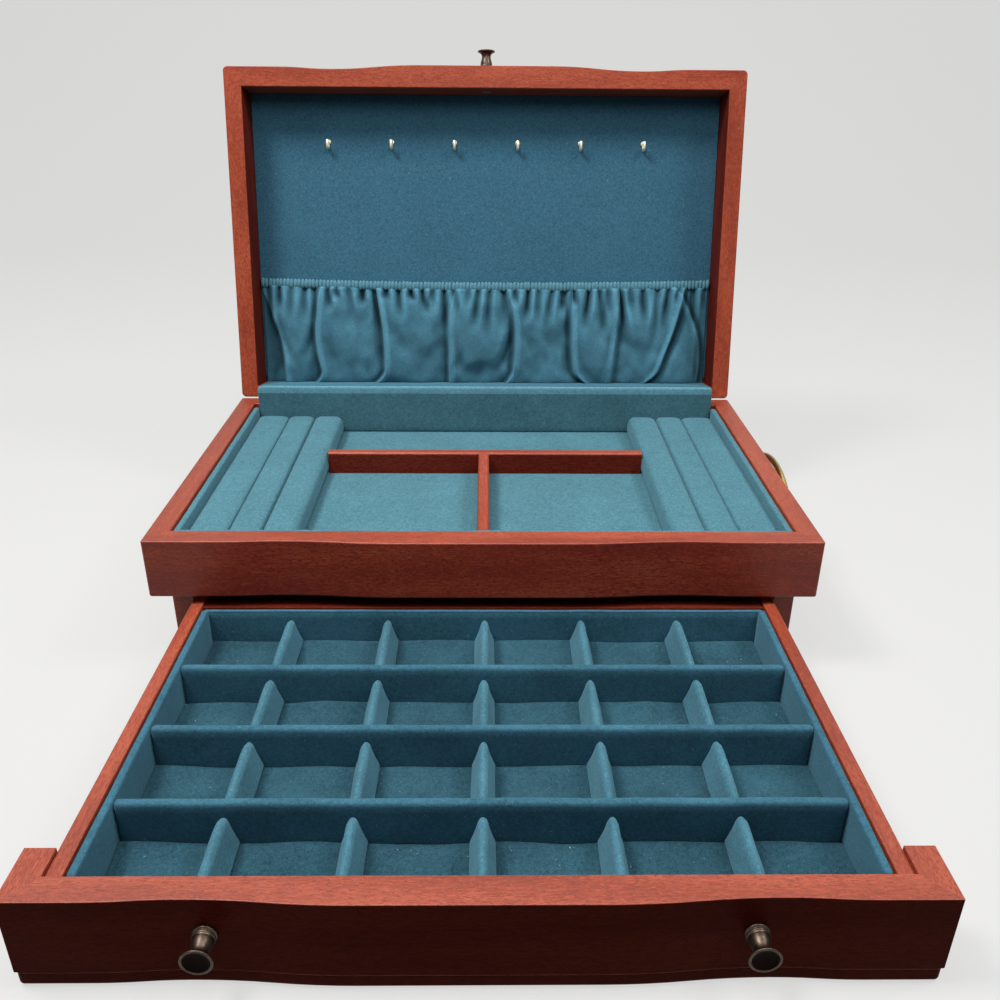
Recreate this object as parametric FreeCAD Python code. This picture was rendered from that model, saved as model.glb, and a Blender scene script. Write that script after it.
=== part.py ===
import FreeCAD, Part
import math
import os

os.makedirs("parts", exist_ok=True)

# A jewellery chest in millimetres. X runs to the right, Y to the back, Z up.
# Everything is drawn from the front of the closed chest, with the table at
# Z = 0 and the middle of the width at X = 0. The lid is then opened and the
# drawer drawn out, as the chest stands when it is shown, and save() moves
# each piece so that the origin lies in the middle of the felt underneath.

# Overall sizes
CASE_W = 380.0
CASE_D = 239.0
RIM_Z = 84.0
TRAY_BOX_H = 35.5
WALL_T = 12.7
FRONT_T = 13.6
HALF_W = CASE_W / 2
MID_Y = CASE_D / 2
BOX_Z = RIM_Z - TRAY_BOX_H
IN_X = HALF_W - WALL_T
IN_BACK_Y = CASE_D - WALL_T
FAR = 4 * CASE_W

# Serpentine front: where it leaves the flat ends, dips and swells, and how far
WAVE_FLAT_X = 0.789 * HALF_W
WAVE_DIP_X = 0.595 * HALF_W
WAVE_SWELL_X = 0.253 * HALF_W
WAVE_DIP = 1.3
WAVE_SWELL = 1.7

# Rounded edges
RIM_R = 0.8
CORNER_R = 1.5
BOX_BOTTOM_R = 1.2
LID_CORNER_R = 3.2
LID_TOP_R = 3.0

# Lower case and its base
LOWER_INSET = 2.5
LOWER_FRONT_Y = 27.0
LOWER_BACK_T = 8.0
LOWER_X = HALF_W - LOWER_INSET
LOWER_BACK_Y = CASE_D - LOWER_INSET
MOULD_TOP_Z = 8.0
MOULD_BOTTOM_Z = 0.4
MOULD_NOTCH = 1.0
MOULD_NOTCH_H = 0.6
MOULD_BEAD = 0.3
MOULD_ROUND = 2.1
MOULD_D = 10.0
FELT_T = 1.2
FELT_EDGE = 2.5
FLOOR_FRONT_Y = 14.5
GUIDE_T = 7.3
GUIDE_CLEAR = 0.3
RUN_CLEAR = 0.3
GROOVE_D = 4.0
GROOVE_CLEAR = 0.1

# Tray
TRAY_DEPTH = 21.5
TRAY_FELT_T = 1.5
TRAY_BOARD_T = 4.0
TRAY_Z = RIM_Z - TRAY_DEPTH
BOARD_TOP_Z = TRAY_Z - TRAY_FELT_T
BOARD_Z = BOARD_TOP_Z - TRAY_BOARD_T
LINING_T = 4.0
LINING_DROP = 1.2
LINING_GAP = 0.4
LINING_X = IN_X - LINING_GAP - LINING_T
LINING_FRONT_Y = FRONT_T + LINING_GAP + LINING_T
REAR_BOARD_T = 4.0
REAR_BOARD_RISE = 15.0
REAR_BOARD_HALF = IN_X - 3.9
REAR_BOARD_R = 3.0
REAR_BOARD_Y = IN_BACK_Y - 0.3 - REAR_BOARD_T
SOFT_GAP = 0.3
ROLL_TOP_DROP = 6.2
ROLL_WIDTHS = (22.9, 19.1, 21.6)
ROLL_OUT_X = LINING_X - SOFT_GAP
ROLL_INNER_X = ROLL_OUT_X - sum(ROLL_WIDTHS)
ROLL_SLIT = 0.5
ROLL_R = 4.5
DIVIDER_T = 7.3
DIVIDER_TOP_DROP = 6.0
LONG_DIVIDER_Y = 0.612 * CASE_D
SHORT_DIVIDER_X = -1.0
DIVIDER_R = 2.0

# Lid
LID_H = 34.0
LID_GAP = 0.4
LID_BACK_T = 8.6
LID_IN_BACK_Y = CASE_D - LID_BACK_T
LID_HOLLOW = 27.4
LID_OPEN = 101.6
LINING_BOARD_T = 2.4
TOP_REBATE = 6.0
BACK_REBATE = 3.6
LID_Z = RIM_Z + LID_GAP
LID_TOP_Z = LID_Z + LID_H
LINING_Z = LID_Z + LID_HOLLOW
PANEL_Z = LINING_Z + LINING_BOARD_T
HOOK_PITCH = 48.0
HOOK_COUNT = 6
HOOK_S = 0.795 * CASE_D
HOOK_R = 2.6
HOOK_WIRE_R = 0.75
HOOK_WIRE_SIDES = 6
HOOK_TURN = 235.0
POCKET_HALF = IN_X - 1.8
POCKET_TOP_S = 0.345 * CASE_D
POCKET_T = 11.0
ELASTIC_H = 6.5
ELASTIC_T = 3.2

# Hinges
PIN_OUT = 0.4
PIN_Y = CASE_D + PIN_OUT
PIN_Z = RIM_Z + LID_GAP / 2
PIN_R = 0.9
PIN_BORE_CLEAR = 0.06
BARREL_R = 2.0
BARREL_CLEAR = 0.3
HINGE_X = 0.621 * HALF_W
HINGE_L = 38.0
LEAF_D = 7.6
LEAF_T = 1.1
LEAF_CLEAR = 0.05
HINGE_HEAD_R = 1.9
HINGE_SHANK_R = 0.8
HINGE_SCREW_L = 7.0
HINGE_CLEAR = 0.05
KNUCKLES = 3
KNUCKLE_GAP = 0.2
HEEL_L = 8.0
HEEL_T = 1.0
HEEL_CLEAR = 0.08

# Drawer
DRAWER_INSET = 10.0
DRAWER_HALF = HALF_W - DRAWER_INSET
DRAWER_TOP_Z = BOX_Z - 3.0
DRAWER_FRONT_T = 12.2
RETURN_L = 26.5
RETURN_CLEAR = 0.5
SIDE_T = 6.9
SIDE_OUT_X = LOWER_X - WALL_T - GUIDE_T - GUIDE_CLEAR
SIDE_IN_X = SIDE_OUT_X - SIDE_T
SIDE_Z = MOULD_TOP_Z + RUN_CLEAR
SIDE_TOP_Z = DRAWER_TOP_Z - 1.8
TAIL_Y = LOWER_BACK_Y - LOWER_BACK_T - 1.5
TAIL_L = 9.6
BACK_PANEL_T = 8.6
BACK_PANEL_Y = TAIL_Y - TAIL_L - BACK_PANEL_T
BACK_PANEL_TOP_Z = SIDE_TOP_Z - 1.7
BOTTOM_Z = 12.0
BOTTOM_T = 3.0
TRAVEL = BACK_PANEL_Y + 0.9

# Drawer insert: four rows of six cells, pitched as shares of the inside
INSERT_TOP_Z = DRAWER_TOP_Z - 2.4
INSERT_WALL_T = 4.0
INSERT_GAP = 0.4
INSERT_FRONT_T = 2.0
INSERT_BACK_T = 2.8
FLOOR_PAD_T = 7.0
WALL_IN_X = SIDE_IN_X - INSERT_GAP - INSERT_WALL_T
CELL_FRONT_Y = DRAWER_FRONT_T + INSERT_GAP + INSERT_FRONT_T
CELL_BACK_Y = BACK_PANEL_Y - INSERT_GAP - INSERT_BACK_T
CELL_RUN = CELL_BACK_Y - CELL_FRONT_Y
CELL_FLOOR_Z = BOTTOM_Z + BOTTOM_T + FLOOR_PAD_T
LONG_T = 4.5
LONG_ROWS = 3
LONG_PITCH = 0.252 * CELL_RUN
BACK_ROW_D = 0.273 * CELL_RUN
SHORT_TOP_Z = INSERT_TOP_Z - 4.5
SHORT_TOP_T = 4.5
SHORT_FOOT_T = 12.0
SHORT_COUNT = 5
SHORT_PITCH = 0.3515 * WALL_IN_X

# Knobs
KNOB_L = 13.0
KNOB_FLARE_R = 6.35
KNOB_NECK_R = 3.2
KNOB_BASE_R = 4.9
DRAWER_KNOB_X = 0.5795 * DRAWER_HALF
DRAWER_KNOB_Z = MOULD_TOP_Z + 0.533 * (DRAWER_TOP_Z - MOULD_TOP_Z)
SCREW_R = 1.6
SCREW_HEAD_R = 3.6
SCREW_HEAD_T = 1.4
SCREW_BITE = 5.0

# Side bails
BAIL_X_OUT = 3.5
BAIL_Z = RIM_Z - 21.0
BAIL_RISE = 20.3
BAIL_HALF = 33.0
BAIL_LEG = 4.5
BAIL_CORNER_R = 12.0
BAIL_R = 1.8
BAIL_PIN_R = 1.1
BAIL_PIN_CLEAR = 0.06
BAIL_UP = 176.0
POST_HALF = BAIL_HALF - 5.0
POST_EYE_R = 2.7
POST_EYE_T = 4.0
POST_STEM_R = 1.7
ROSE_R = 5.0
ROSE_T = 1.2


def vec(x, y, z):
    return FreeCAD.Vector(x, y, z)


def box(x0, x1, y0, y1, z0, z1):
    return Part.makeBox(x1 - x0, y1 - y0, z1 - z0, vec(x0, y0, z0))


def prism_z(points, z0, z1):
    """A straight block over a flat outline of (x, y) corners."""
    wire = Part.makePolygon([vec(x, y, z0) for x, y in points + points[:1]])
    return Part.Face(wire).extrude(vec(0, 0, z1 - z0))


def cylinder(r, length, start, along):
    return Part.makeCylinder(r, length, start, along)


def turned(profile, base, along):
    """A body turned about its own axis, from (radius, height) corners."""
    points = [vec(0, 0, profile[0][1])]
    points += [vec(r, 0, h) for r, h in profile]
    points += [vec(0, 0, profile[-1][1])]
    face = Part.Face(Part.makePolygon(points + points[:1]))
    body = face.revolve(vec(0, 0, 0), vec(0, 0, 1), 360)
    body.Placement = FreeCAD.Placement(base, FreeCAD.Rotation(vec(0, 0, 1), along))
    return body


def rounded(shape, radius, wanted):
    """Rounds the edges whose box passes the test."""
    edges = [e for e in shape.Edges if wanted(e.BoundBox)]
    return shape.makeFillet(radius, edges)


def level(b):
    return b.ZLength < 1e-3


def upright(b):
    return b.XLength < 1e-3 and b.YLength < 1e-3


def corner_post(half):
    """A test for the upright edges at the outer corners of a frame."""
    return lambda b: upright(b) and abs(b.XMin) > half - 0.1


def at(value, place):
    return abs(value - place) < 1e-3


def mirrored_x(shape):
    return shape.mirror(vec(0, 0, 0), vec(1, 0, 0))


def save(name, solids):
    """Writes one node, seen from the middle of the footprint."""
    solids = solids if isinstance(solids, list) else [solids]
    flat = []
    for shape in solids:
        flat += shape.Solids
    moved = []
    for solid in flat:
        piece = solid.copy()
        piece.translate(vec(0, -MID_Y, 0))
        moved.append(piece)
    whole = moved[0] if len(moved) == 1 else Part.makeCompound(moved)
    whole.exportStep("parts/" + name + ".step")
    print(name, len(moved), "solids", round(sum(s.Volume for s in moved) / 1000, 2), "cm3")


def save_lid(name, solids):
    """Writes a node of the lid, turned open about the hinge pins."""
    solids = solids if isinstance(solids, list) else [solids]
    opened = []
    for shape in solids:
        piece = shape.copy()
        piece.rotate(vec(0, PIN_Y, PIN_Z), vec(1, 0, 0), -LID_OPEN)
        opened.append(piece)
    save(name, opened)


def save_drawer(name, solids):
    """Writes a node of the drawer, drawn out towards the front."""
    solids = solids if isinstance(solids, list) else [solids]
    drawn = []
    for shape in solids:
        piece = shape.copy()
        piece.translate(vec(0, -TRAVEL, 0))
        drawn.append(piece)
    save(name, drawn)


def wave_stations():
    """Where the serpentine is level, from the middle out: (x, set back)."""
    return [(WAVE_SWELL_X, -WAVE_SWELL), (WAVE_DIP_X, WAVE_DIP), (WAVE_FLAT_X, 0.0)]


def wave_y(x):
    """How far the serpentine front stands behind its ends at x."""
    x = abs(x)
    stations = wave_stations()
    if x <= stations[0][0]:
        return stations[0][1]
    for (xa, ya), (xb, yb) in zip(stations, stations[1:]):
        if x < xb:
            bend = ((xb - xa) ** 2 + (yb - ya) ** 2) / (4 * (yb - ya))
            near_a = x < (xa + xb) / 2
            run = x - xa if near_a else xb - x
            sag = abs(bend) - math.sqrt(bend ** 2 - run ** 2)
            sag = math.copysign(sag, bend)
            return ya + sag if near_a else yb - sag
    return 0.0


def wave_edge(half, y, z):
    """The serpentine front line from left to right, in tangent arcs."""

    def point(x):
        return vec(x, y + wave_y(x), z)

    stops = [WAVE_SWELL_X]
    for (xa, ya), (xb, yb) in zip(wave_stations(), wave_stations()[1:]):
        stops += [(xa + xb) / 2, xb]
    right = []
    for xa, xb in zip(stops, stops[1:]):
        right.append(Part.Arc(point(xa), point((xa + xb) / 2), point(xb)).toShape())
    left = [mirrored_x(edge) for edge in right]
    middle = Part.makeLine(point(-WAVE_SWELL_X), point(WAVE_SWELL_X))
    ends = [Part.makeLine(vec(sx * WAVE_FLAT_X, y, z), vec(sx * half, y, z)) for sx in (-1, 1)]
    return left + right + [middle] + ends


def wave_block(half, y_front, y_back, z0, z1):
    """A block with the serpentine front and straight sides and back."""
    edges = wave_edge(half, y_front, z0)
    edges.append(Part.makeLine(vec(half, y_front, z0), vec(half, y_back, z0)))
    edges.append(Part.makeLine(vec(half, y_back, z0), vec(-half, y_back, z0)))
    edges.append(Part.makeLine(vec(-half, y_back, z0), vec(-half, y_front, z0)))
    outline = Part.Wire(Part.__sortEdges__(edges))
    return Part.Face(outline).extrude(vec(0, 0, z1 - z0))


def mitre_cutters(in_x, in_front, in_back, z0, z1):
    """Four wedges that part a frame at 45 degrees from its inside corners."""
    reach = 3 * WALL_T

    def left(p):
        return (-p[0], p[1])

    front_in = (in_x, in_front)
    front_out = (in_x + reach, in_front - reach)
    back_in = (in_x, in_back)
    back_out = (in_x + reach, in_back + reach)
    front = [left(front_out), front_out, front_in, left(front_in)]
    back = [left(back_in), back_in, back_out, left(back_out)]
    right = [front_out, back_out, back_in, front_in]
    left_side = [left(p) for p in right]
    return [prism_z(p, z0, z1) for p in (front, left_side, right, back)]


def inner_rim(z, back_y):
    """A test for the level inside edges of the frames at height z."""

    def wanted(b):
        inside = b.XMin > -IN_X - 0.01 and b.XMax < IN_X + 0.01
        inside = inside and b.YMin > FRONT_T - 0.01 and b.YMax < back_y + 0.01
        return level(b) and at(b.ZMin, z) and inside

    return wanted


def tray_frame():
    """The mitred upper box of the case, as front, left, right and back."""
    ring = wave_block(HALF_W, 0, CASE_D, BOX_Z, RIM_Z)
    ring = rounded(ring, CORNER_R, corner_post(HALF_W))
    ring = rounded(ring, BOX_BOTTOM_R, lambda b: level(b) and at(b.ZMin, BOX_Z))
    ring = rounded(ring, RIM_R, lambda b: level(b) and at(b.ZMin, RIM_Z))
    hole = box(-IN_X, IN_X, FRONT_T, IN_BACK_Y, BOX_Z - 1, RIM_Z + 1)
    ring = ring.cut(hole)
    ring = rounded(ring, RIM_R, inner_rim(RIM_Z, IN_BACK_Y))
    groove = box(
        -IN_X - GROOVE_D - GROOVE_CLEAR, IN_X + GROOVE_D + GROOVE_CLEAR,
        FRONT_T - GROOVE_D - GROOVE_CLEAR, IN_BACK_Y + GROOVE_D + GROOVE_CLEAR,
        BOARD_Z - GROOVE_CLEAR, BOARD_TOP_Z + GROOVE_CLEAR,
    )
    ring = ring.cut(groove)
    cutters = mitre_cutters(IN_X, FRONT_T, IN_BACK_Y, BOX_Z - 1, RIM_Z + 1)
    return [ring.common(c) for c in cutters]


def lid_frame():
    """The mitred lid rails in the closed place, with a rebate for the top."""
    ring = wave_block(HALF_W, 0, CASE_D, LID_Z, LID_TOP_Z)
    ring = rounded(ring, LID_CORNER_R, corner_post(HALF_W))
    ring = rounded(ring, RIM_R, lambda b: level(b) and at(b.ZMin, LID_Z))
    ring = rounded(ring, LID_TOP_R, lambda b: level(b) and at(b.ZMin, LID_TOP_Z))
    ring = ring.cut(box(-IN_X, IN_X, FRONT_T, LID_IN_BACK_Y, LID_Z - 1, LID_TOP_Z + 1))
    ring = rounded(ring, RIM_R, inner_rim(LID_Z, LID_IN_BACK_Y))
    ring = ring.cut(box(
        -IN_X - TOP_REBATE, IN_X + TOP_REBATE, FRONT_T - TOP_REBATE, LID_IN_BACK_Y + BACK_REBATE,
        PANEL_Z, LID_TOP_Z + 1,
    ))
    cutters = mitre_cutters(IN_X, FRONT_T, LID_IN_BACK_Y, LID_Z - 1, LID_TOP_Z + 1)
    return [ring.common(c) for c in cutters]


def hinge_places():
    return (-HINGE_X, HINGE_X)


def leaf_recess(x, z0, z1):
    """The shallow bed for one leaf, with room for the barrel behind it."""
    half = HINGE_L / 2 + LEAF_CLEAR
    bed = box(x - half, x + half, CASE_D - LEAF_D - LEAF_CLEAR, CASE_D + 1, z0, z1)
    start = vec(x - half, PIN_Y, PIN_Z)
    barrel = cylinder(BARREL_R + BARREL_CLEAR, 2 * half, start, vec(1, 0, 0))
    return bed.fuse(barrel)


def heel_recess(x):
    """The bed in the back of the case for the turned-down leaf."""
    half = HINGE_L / 2 + LEAF_CLEAR
    return box(
        x - half, x + half, CASE_D - LEAF_T - LEAF_CLEAR, CASE_D + 1,
        PIN_Z - HEEL_L - LEAF_T, RIM_Z + 1,
    )


def screw_places(x):
    offset = HINGE_L / 3.2
    return [vec(x - offset, CASE_D - 0.56 * LEAF_D, 0), vec(x + offset, CASE_D - 0.56 * LEAF_D, 0)]


def small_screw(place, z_face, down):
    """A countersunk screw whose head is flush with the leaf."""
    profile = [(HINGE_HEAD_R, 0), (HINGE_SHANK_R, LEAF_T - 0.1), (HINGE_SHANK_R, HINGE_SCREW_L)]
    along = vec(0, 0, -1) if down else vec(0, 0, 1)
    return turned(profile, vec(place.x, place.y, z_face), along)


def screw_sink(place, z_face, down):
    """The countersink and bore for a hinge screw through its leaf."""
    clear = HINGE_CLEAR
    profile = [(HINGE_HEAD_R + clear, -clear), (HINGE_SHANK_R + clear, LEAF_T - 0.1),
               (HINGE_SHANK_R + clear, HINGE_SCREW_L + clear)]
    along = vec(0, 0, -1) if down else vec(0, 0, 1)
    return turned(profile, vec(place.x, place.y, z_face), along)


def knuckle_spans(x, mine):
    """The stretches of barrel that belong to the case (0) or lid (1)."""
    step = HINGE_L / KNUCKLES
    spans = []
    for i in range(KNUCKLES):
        if i % 2 == mine:
            start = x - HINGE_L / 2 + i * step + KNUCKLE_GAP / 2
            spans.append((start, start + step - KNUCKLE_GAP))
    return spans


def barrel_with(plate_of, x, mine):
    """Barrel stretches joined to the leaf, bored for the pin."""
    body = None
    for x0, x1 in knuckle_spans(x, mine):
        tube = cylinder(BARREL_R, x1 - x0, vec(x0, PIN_Y, PIN_Z), vec(1, 0, 0))
        part = tube.fuse(plate_of(x0, x1))
        body = part if body is None else body.fuse(part)
    return body


def pin_bore(x):
    start = vec(x - HINGE_L, PIN_Y, PIN_Z)
    return cylinder(PIN_R + PIN_BORE_CLEAR, 2 * HINGE_L, start, vec(1, 0, 0))


def other_knuckle_room(x, mine):
    """Room around the barrel stretches of the other leaf."""
    room = None
    for x0, x1 in knuckle_spans(x, 1 - mine):
        start = vec(x0 - KNUCKLE_GAP, PIN_Y, PIN_Z)
        tube = cylinder(BARREL_R + BARREL_CLEAR, x1 - x0 + 2 * KNUCKLE_GAP, start, vec(1, 0, 0))
        room = tube if room is None else room.fuse(tube)
    return room


def case_leaf(x):
    """The leaf on the case: flat on the rim, turned down over the back."""
    half = HINGE_L / 2
    top = RIM_Z
    flat = box(x - half, x + half, CASE_D - LEAF_D, CASE_D, top - LEAF_T, top)
    back = box(x - half, x + half, CASE_D - LEAF_T, CASE_D, PIN_Z - HEEL_L, top)

    def arm(x0, x1):
        return box(x0, x1, CASE_D - LEAF_T, PIN_Y, top - LEAF_T, top)

    leaf = flat.fuse(back).cut(other_knuckle_room(x, 0))
    leaf = leaf.fuse(barrel_with(arm, x, 0)).cut(pin_bore(x))
    for place in screw_places(x):
        leaf = leaf.cut(screw_sink(place, top, True))
    return leaf.removeSplitter()


def lid_leaf(x):
    """The leaf on the lid in its closed place, with the stop heels."""
    half = HINGE_L / 2
    low = LID_Z
    flat = box(x - half, x + half, CASE_D - LEAF_D, CASE_D, low, low + LEAF_T)

    def arm(x0, x1):
        plate = box(x0, x1, CASE_D - LEAF_T, PIN_Y, low, low + LEAF_T)
        heel = box(
            x0, x1, CASE_D + HEEL_CLEAR, CASE_D + HEEL_CLEAR + HEEL_T,
            PIN_Z - HEEL_L, PIN_Z,
        )
        heel.rotate(vec(0, PIN_Y, PIN_Z), vec(1, 0, 0), LID_OPEN)
        return plate.fuse(heel)

    leaf = flat.cut(other_knuckle_room(x, 1))
    leaf = leaf.fuse(barrel_with(arm, x, 1)).cut(pin_bore(x))
    for place in screw_places(x):
        leaf = leaf.cut(screw_sink(place, low, False))
    return leaf.removeSplitter()


def hinge_pin(x):
    return cylinder(PIN_R, HINGE_L - KNUCKLE_GAP, vec(x - HINGE_L / 2 + KNUCKLE_GAP / 2, PIN_Y, PIN_Z),
                    vec(1, 0, 0))


def build_tray_box():
    front, left, right, back = tray_frame()
    for x in hinge_places():
        back = back.cut(leaf_recess(x, RIM_Z - LEAF_T - LEAF_CLEAR, RIM_Z + 1))
        back = back.cut(heel_recess(x))
        for place in screw_places(x):
            back = back.cut(screw_sink(place, RIM_Z, True))
    for side in (-1, 1):
        for y in (MID_Y - POST_HALF, MID_Y + POST_HALF):
            hole = cylinder(SCREW_R + 0.05, WALL_T + 2, vec(side * (HALF_W + 1), y, BAIL_Z), vec(-side, 0, 0))
            left = left.cut(hole)
            right = right.cut(hole)
    save("case_front_rail", front)
    save("case_left_rail", left)
    save("case_right_rail", right)
    save("case_back_rail", back)


def mould_profile(z_top):
    """Section of the base moulding: outline points (inset, z) from the top."""
    span = z_top - MOULD_BOTTOM_Z
    return [
        (MOULD_NOTCH, z_top),
        (MOULD_NOTCH, z_top - MOULD_NOTCH_H),
        (MOULD_BEAD, z_top - 0.38 * span),
        (MOULD_BEAD, z_top - 0.62 * span),
        (MOULD_BEAD + MOULD_ROUND, MOULD_BOTTOM_Z),
    ]


def mould_section(z_top):
    """The flat face of the moulding in the XZ plane, body face at X = 0."""
    p = [vec(-inset, 0, z) for inset, z in mould_profile(z_top)]
    back_top = vec(-MOULD_D, 0, z_top)
    back_low = vec(-MOULD_D, 0, MOULD_BOTTOM_Z)
    swell = vec(-MOULD_BEAD - 0.12, 0, (p[1].z + 2 * p[2].z) / 3)
    under = vec(-MOULD_BEAD - 0.33 * MOULD_ROUND, 0, (p[3].z + 1.6 * p[4].z) / 2.6)
    edges = [
        Part.makeLine(back_low, back_top),
        Part.makeLine(back_top, p[0]),
        Part.makeLine(p[0], p[1]),
        Part.Arc(p[1], swell, p[2]).toShape(),
        Part.makeLine(p[2], p[3]),
        Part.Arc(p[3], under, p[4]).toShape(),
        Part.makeLine(p[4], back_low),
    ]
    return Part.Face(Part.Wire(edges))


def mould_run(z_top, length):
    """A straight length of moulding along Y, its outer face at X = 0."""
    return mould_section(z_top).extrude(vec(0, length, 0))


def build_lower_case():
    side = box(LOWER_X - WALL_T, LOWER_X, LOWER_FRONT_Y, LOWER_BACK_Y, MOULD_TOP_Z, BOX_Z)
    back_in = LOWER_BACK_Y - LOWER_BACK_T
    back = box(-LOWER_X, LOWER_X, back_in, LOWER_BACK_Y, MOULD_TOP_Z, BOX_Z)
    mitre = prism_z(
        [(LOWER_X + WALL_T, LOWER_BACK_Y + LOWER_BACK_T), (LOWER_X - WALL_T, back_in),
         (-LOWER_X + WALL_T, back_in), (-LOWER_X - WALL_T, LOWER_BACK_Y + LOWER_BACK_T)],
        0, RIM_Z,
    )

    def outer_corner(b):
        return upright(b) and b.YMax > LOWER_BACK_Y - 0.1 and abs(b.XMin) > LOWER_X - 0.1

    side = side.cut(mitre)
    side = rounded(side, RIM_R, lambda b: upright(b) and b.YMax < LOWER_FRONT_Y + 0.1)
    whole = rounded(back, CORNER_R, outer_corner).common(mitre)
    save("lower_right_side", side)
    save("lower_left_side", mirrored_x(side))
    save("lower_back", whole)


def build_case_moulding():
    """Three strips under the lower case, mitred at the back corners."""
    length = LOWER_BACK_Y - LOWER_FRONT_Y
    run = mould_run(MOULD_TOP_Z, length)
    run.translate(vec(LOWER_X, LOWER_FRONT_Y, 0))
    corner = prism_z(
        [(LOWER_X + MOULD_D, LOWER_BACK_Y + MOULD_D), (LOWER_X - 2 * MOULD_D, LOWER_BACK_Y - 2 * MOULD_D),
         (-LOWER_X + 2 * MOULD_D, LOWER_BACK_Y - 2 * MOULD_D), (-LOWER_X - MOULD_D, LOWER_BACK_Y + MOULD_D)],
        -1, RIM_Z,
    )
    right = run.cut(corner)
    behind = mould_run(MOULD_TOP_Z, 2 * LOWER_X)
    behind.rotate(vec(0, 0, 0), vec(0, 0, 1), 90)
    behind.translate(vec(LOWER_X, LOWER_BACK_Y, 0))
    behind = behind.common(corner)
    save("case_base_moulding", [right, mirrored_x(right), behind])


def build_case_inside():
    inner_x = LOWER_X - MOULD_D
    floor_back = LOWER_BACK_Y - MOULD_D
    floor = box(-inner_x, inner_x, FLOOR_FRONT_Y, floor_back, FELT_T, MOULD_TOP_Z)
    tongue_x = DRAWER_HALF - MOULD_D - RETURN_CLEAR
    for side in (-1, 1):
        xs = sorted((side * tongue_x, side * FAR))
        floor = floor.cut(box(xs[0], xs[1], 0, RETURN_L + RETURN_CLEAR, 0, RIM_Z))
    save("case_floor", floor)
    felt_x = tongue_x - FELT_EDGE
    felt_y = FLOOR_FRONT_Y + FELT_EDGE
    save("felt_sheet", box(-felt_x, felt_x, felt_y, CASE_D - felt_y, 0, FELT_T))
    board = box(
        -IN_X - GROOVE_D, IN_X + GROOVE_D, FRONT_T - GROOVE_D, IN_BACK_Y + GROOVE_D,
        BOARD_Z, BOARD_TOP_Z,
    )
    for cutter in mitre_corners():
        board = board.cut(cutter)
    save("tray_bottom_board", board)
    guide = box(
        SIDE_OUT_X + GUIDE_CLEAR, LOWER_X - WALL_T, LOWER_FRONT_Y + 1,
        LOWER_BACK_Y - LOWER_BACK_T, MOULD_TOP_Z, BOX_Z - 2,
    )
    save("drawer_guides", [guide, mirrored_x(guide)])
    kicker = box(
        SIDE_IN_X - 2, SIDE_OUT_X - GUIDE_CLEAR, FRONT_T, IN_BACK_Y,
        SIDE_TOP_Z + 2 * RUN_CLEAR, BOARD_Z,
    )
    save("drawer_kickers", [kicker, mirrored_x(kicker)])


def mitre_corners():
    """Small corner blocks that keep the board clear of the mitred ends."""
    reach = GROOVE_D + 1
    blocks = []
    for sx in (-1, 1):
        for y in (FRONT_T, IN_BACK_Y):
            x0 = sx * IN_X
            sy = -1 if y == FRONT_T else 1
            xs = sorted((x0, x0 + sx * reach))
            ys = sorted((y, y + sy * reach))
            blocks.append(box(xs[0], xs[1], ys[0], ys[1], BOARD_Z - 1, BOARD_TOP_Z + 1))
    return blocks


def build_tray_lining():
    top = RIM_Z - LINING_DROP
    side = box(LINING_X, LINING_X + LINING_T, FRONT_T + LINING_GAP, REAR_BOARD_Y - 0.1, TRAY_Z, top)
    side = rounded(side, 0.45 * LINING_T, lambda b: level(b) and at(b.ZMin, top) and b.YLength > CASE_D / 2)
    front = box(-LINING_X, LINING_X, FRONT_T + LINING_GAP, LINING_FRONT_Y, TRAY_Z, top)
    front = rounded(front, 0.45 * LINING_T, lambda b: level(b) and at(b.ZMin, top) and b.XLength > CASE_W / 2)
    save("tray_lining", [side, mirrored_x(side), front])
    felt = box(-IN_X + 0.2, IN_X - 0.2, FRONT_T + 0.2, IN_BACK_Y - 0.2, BOARD_TOP_Z, TRAY_Z)
    save("tray_floor", felt)


def build_rear_board():
    top = RIM_Z + REAR_BOARD_RISE
    y0 = REAR_BOARD_Y
    y1 = REAR_BOARD_Y + REAR_BOARD_T
    board = box(-REAR_BOARD_HALF, REAR_BOARD_HALF, y0, y1, TRAY_Z, top)
    board = rounded(
        board, REAR_BOARD_R,
        lambda b: b.YLength > 0.9 * REAR_BOARD_T and b.ZMin > top - 0.1 and b.XLength < 0.1,
    )

    def along_top(b):
        on_face = b.YLength < 0.01
        return on_face and b.ZMax > RIM_Z and b.ZMin > top - REAR_BOARD_R - 0.1

    board = rounded(board, 0.4 * REAR_BOARD_T, along_top)
    save("tray_rear_board", board)


def roll_section(x0, x1, first, last):
    """One padded section of a ring roll, with soft top edges."""
    y0 = LINING_FRONT_Y + 0.3
    y1 = REAR_BOARD_Y - 0.4
    top = RIM_Z - ROLL_TOP_DROP
    body = box(x0, x1, y0, y1, TRAY_Z, top)
    inner_r = ROLL_R if first else 0.35 * ROLL_R
    outer_r = ROLL_R if last else 0.35 * ROLL_R
    body = rounded(body, inner_r, lambda b: b.YLength > 50 and at(b.ZMin, top) and at(b.XMin, x0))
    body = rounded(body, outer_r, lambda b: b.YLength > 50 and at(b.ZMin, top) and at(b.XMin, x1))
    return body


def build_ring_rolls():
    cuts = [ROLL_OUT_X - sum(ROLL_WIDTHS[:i]) for i in (3, 2, 1, 0)]
    sections = []
    for i in range(3):
        x0 = cuts[i] + (ROLL_SLIT / 2 if i > 0 else 0)
        x1 = cuts[i + 1] - (ROLL_SLIT / 2 if i < 2 else 0)
        sections.append(roll_section(x0, x1, i == 0, i == 2))
    save("ring_roll_right", sections)
    save("ring_roll_left", [mirrored_x(s) for s in sections])


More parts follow.
